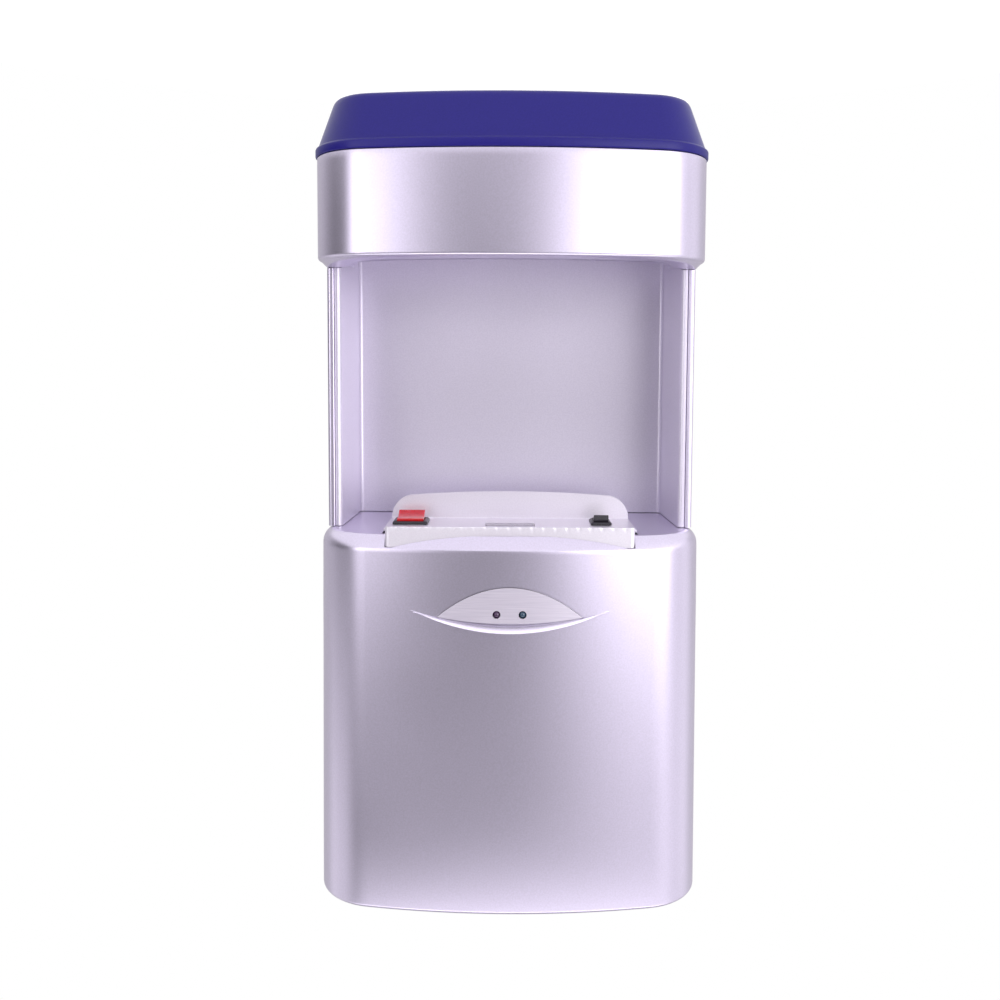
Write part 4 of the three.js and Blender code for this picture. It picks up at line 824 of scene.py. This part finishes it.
for inset, drop in EDGE_ROWS:
    ring = basin_plan.ring(0.0, inset, inset, inset)
    rings.append(raised(ring, np.maximum(deck(edge, 40.0) - drop, basin_floor(ring) + 0.4)))
for inset, lift in WALL_ROWS:
    ring = basin_plan.ring(0.0, inset, inset, inset)
    rings.append(raised(ring, np.minimum(basin_floor(ring) + lift, deck(edge, 40.0) - 1.6)))
wide, narrow = basin_plan.ring(0.0, 8.0, 8.0, 8.0), circle(DRAIN_SEAT, 0.0)
for t in (0.15, 0.3, 0.45, 0.6, 0.75, 0.88, 1.0):
    ring = wide * (1 - t) + narrow * t
    rings.append(raised(ring, basin_floor(ring)))
rings += [circle(DRAIN_SEAT, DRAIN_HEIGHT), circle(DRAIN_RADIUS, DRAIN_HEIGHT)]
tray = loft("fine_drain_tray", rings, closed=True)
dress(tray, silver, "housing", "silver_shell", "drain_tray", sharp=50)

# ---- Tank ----
_, TANK_HALF, TANK_FRONT, TANK_BACK, _, TANK_TOP = extent("drain_tank")
tank_plan = Plan(TANK_HALF, TANK_FRONT, TANK_BACK, CORNER + 1.2, (8, 18, 60), stops=(0.0, 60.0, 120.0))
# Levels of the tank's skin, each (height, inset at the sides, at the front, at the back)
TANK_FOOT = ((0.0, 19.0, 18.0, 7.0), (0.25, 17.2, 16.2, 5.8), (0.9, 15.7, 14.7, 4.6), (2.0, 14.5, 13.4, 3.6),
             (3.6, 13.5, 12.3, 2.8), (6.0, 12.5, 11.4, 2.3))
TANK_LIP = ((34.9, 1.7, 1.6, 0), (35.4, 0.8, 0.7, 0), (35.9, 0.25, 0.25, 0), (36.5, 0, 0, 0),
            (38.5, 0, 0, 0), (40.6, 0, 0, 0), (41.3, 0.2, 0.2, 0.2), (41.6, 0.5, 0.5, 0.5),
            (TANK_TOP, 1.0, 1.0, 1.0), (TANK_TOP, 2.4, 2.4, 2.0))
TANK_INSIDE = ((41.4, 3.0, 3.0, 2.4), (40.8, 3.3, 3.3, 2.6), (34.0, 5.0, 4.8, 2.7), (8.0, 13.6, 12.6, 6.5),
               (5.0, 14.6, 13.6, 7.4), (3.4, 16.0, 15.0, 8.6), (2.7, 18.0, 17.0, 10.0),
               (2.5, 21.0, 20.0, 12.0))
WALL_LOW, WALL_HIGH = np.array(TANK_FOOT[-1]), np.array((34.2, 2.2, 2.0, 0.0))
LEDGE_X, LEDGE_Y, LEDGE_HEIGHTS = (122.5, 139.5), (-120, -10.5), (28.4, 30.9)
CORNER_X, CORNER_Y, CORNER_HEIGHTS = (114.5, 134.5), (-13, 0), (24.4, 60)

levels = [*TANK_FOOT]
for height in np.linspace(10, WALL_HIGH[0], 8):
    t = (height - WALL_LOW[0]) / (WALL_HIGH[0] - WALL_LOW[0])
    levels.append(tuple(WALL_LOW + (WALL_HIGH - WALL_LOW) * t))
levels += [*TANK_LIP, *TANK_INSIDE]
tank = loft("fine_drain_tank", [tank_plan.ring(h, s, a, b) for h, s, a, b in levels])
ledges = [(sorted((s * LEDGE_X[0], s * LEDGE_X[1])), LEDGE_Y, LEDGE_HEIGHTS) for s in (-1, 1)]
notches = [(sorted((s * CORNER_X[0], s * CORNER_X[1])), CORNER_Y, CORNER_HEIGHTS) for s in (-1, 1)]
combine(tank, "UNION", boxes("ledges", *ledges))
combine(tank, "DIFFERENCE", boxes("notches", *notches))
dress(tank, tank_blue, "tank", "tank_blue", "drain_tank", sharp=45)

# ---- CAD nodes that keep their shape ----
CARRIED = {
    steel: ("wall_bracket", "cover_screw_left", "cover_screw_right", "drain_strainer", "tray_screw_left",
            "tray_screw_right", "tank_rail_left", "tank_rail_right", "motor_shaft", "motor_can",
            "thermal_cutout"),
    rubber: ("wall_pad_left", "wall_pad_right", "motor_mount", "cable_grommet"),
    grey_plastic: ("blower_case", "blower_cover", "impeller", "motor_cradle", "heater_duct", "air_duct"),
    black_plastic: ("sensor_module", "capacitor"),
    board_green: ("indicator_board", "control_board"),
    winding: ("transformer", "heater_coil"),
    mica: ("heater_frame",),
    terminal: ("terminal_block",),
    filter_foam: ("intake_filter_left", "intake_filter_right"),
}
for material, names in CARRIED.items():
    for name in names:
        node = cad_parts[name]
        node.data.materials.clear()
        node.data.materials.append(material)

# ---- Floor, world and lights ----
FLOOR_Z, FLOOR_RADIUS = -0.95, 2.4
bpy.ops.mesh.primitive_circle_add(vertices=96, radius=FLOOR_RADIUS, fill_type="NGON",
                                  location=(0, 0, FLOOR_Z))
floor = bpy.context.object
floor.name = "floor"
floor_look = bpy.data.materials.new("pale_floor")
floor_shader = nodes_of(floor_look)[1]
floor_shader.inputs["Base Color"].default_value = (0.8, 0.8, 0.8, 1)
floor_shader.inputs["Roughness"].default_value = 0.9
floor_shader.inputs["Emission Color"].default_value = (1, 1, 1, 1)
floor_shader.inputs["Emission Strength"].default_value = 0.5
floor.data.materials.append(floor_look)

world = bpy.data.worlds.new("studio")
scene.world = world
world.use_nodes = True
sky = world.node_tree
sky.nodes.clear()


def compute(operation, *values):
    """Math node on numbers and other nodes' outputs."""
    node = sky.nodes.new("ShaderNodeMath")
    node.operation = operation
    for socket, value in zip(node.inputs, values):
        if isinstance(value, (int, float)):
            socket.default_value = value
        else:
            sky.links.new(value, socket)
    return node.outputs["Value"]


def falloff(angle, centre, inner, outer):
    """1 within the inner angle of the centre, fading to 0 at the outer one, in degrees."""
    offset = compute("SUBTRACT", angle, math.radians(centre))
    away = compute("ABSOLUTE", compute("WRAP", offset, math.pi, -math.pi))
    fade = sky.nodes.new("ShaderNodeMapRange")
    fade.interpolation_type = "SMOOTHSTEP"
    for key, value in (("From Min", inner), ("From Max", outer)):
        fade.inputs[key].default_value = math.radians(value)
    fade.inputs["To Min"].default_value = 1
    fade.inputs["To Max"].default_value = 0
    sky.links.new(away, fade.inputs["Value"])
    return fade.outputs["Result"]


# Softboxes as seen from the dryer: azimuth 0 is straight ahead of its front and grows to its +X side.
# Each has (centre, inner half angle, outer half angle) in azimuth and in elevation, and a strength.
SOFTBOXES = {
    "left": ((-36, 10, 32), (-12, 14, 30), 4.2),
    "left glow": ((-34, 8, 36), (18, 5, 20), 0.55),
    "right": ((36, 4, 24), (-12, 14, 30), 2.7),
    "low left": ((-45, 25, 75), (-28, 6, 14), 1.6),
    "top band": ((-8, 25, 95), (48, 7, 14.5), 2.8),
    "left side": ((-82, 14, 48), (5, 20, 60), 0.85),
    "right side": ((86, 10, 42), (34, 6, 34), 0.8),
    "back": ((180, 50, 100), (10, 30, 80), 0.55),
    "zenith": ((0, 180, 181), (90, 10, 30), 0.4),
}
AMBIENT = 0.02
axes = sky.nodes.new("ShaderNodeSeparateXYZ")
sky.links.new(sky.nodes.new("ShaderNodeTexCoord").outputs["Generated"], axes.inputs["Vector"])
azimuth = compute("ARCTAN2", axes.outputs["X"], compute("MULTIPLY", axes.outputs["Y"], -1.0))
elevation = compute("ARCSINE", axes.outputs["Z"])
total = AMBIENT
for across, upright, strength in SOFTBOXES.values():
    box_light = compute("MULTIPLY", falloff(azimuth, *across), falloff(elevation, *upright))
    total = compute("MULTIPLY_ADD", box_light, strength, total)
lit = sky.nodes.new("ShaderNodeBackground")
lit.inputs["Color"].default_value = (1, 0.985, 1, 1)
sky.links.new(total, lit.inputs["Strength"])
backdrop = sky.nodes.new("ShaderNodeBackground")
backdrop.inputs["Color"].default_value = (1, 1, 1, 1)
backdrop.inputs["Strength"].default_value = 1.0
path = sky.nodes.new("ShaderNodeLightPath")
choose = sky.nodes.new("ShaderNodeMixShader")
sky.links.new(path.outputs["Is Camera Ray"], choose.inputs["Fac"])
sky.links.new(lit.outputs["Background"], choose.inputs[1])
sky.links.new(backdrop.outputs["Background"], choose.inputs[2])
output = sky.nodes.new("ShaderNodeOutputWorld")
sky.links.new(choose.outputs["Shader"], output.inputs["Surface"])

scene.view_settings.view_transform = "Standard"
scene.view_settings.look = "None"

# ---- Camera: the photo shows the dryer upside down, so the camera is rolled half a turn ----
lens_data = bpy.data.cameras.new("camera")
lens_data.lens = 36
lens_data.sensor_width = 36
lens_data.shift_x = -0.0105
lens_data.shift_y = -0.069
camera = bpy.data.objects.new("camera", lens_data)
scene.collection.objects.link(camera)
PITCH, ROLL = 94.0, 180.3
camera.location = (0, -0.865, -0.1406)
tilt = Euler((math.radians(PITCH), 0, 0)).to_matrix()
camera.rotation_euler = (tilt @ Matrix.Rotation(math.radians(ROLL), 3, "Z")).to_euler()
scene.camera = camera
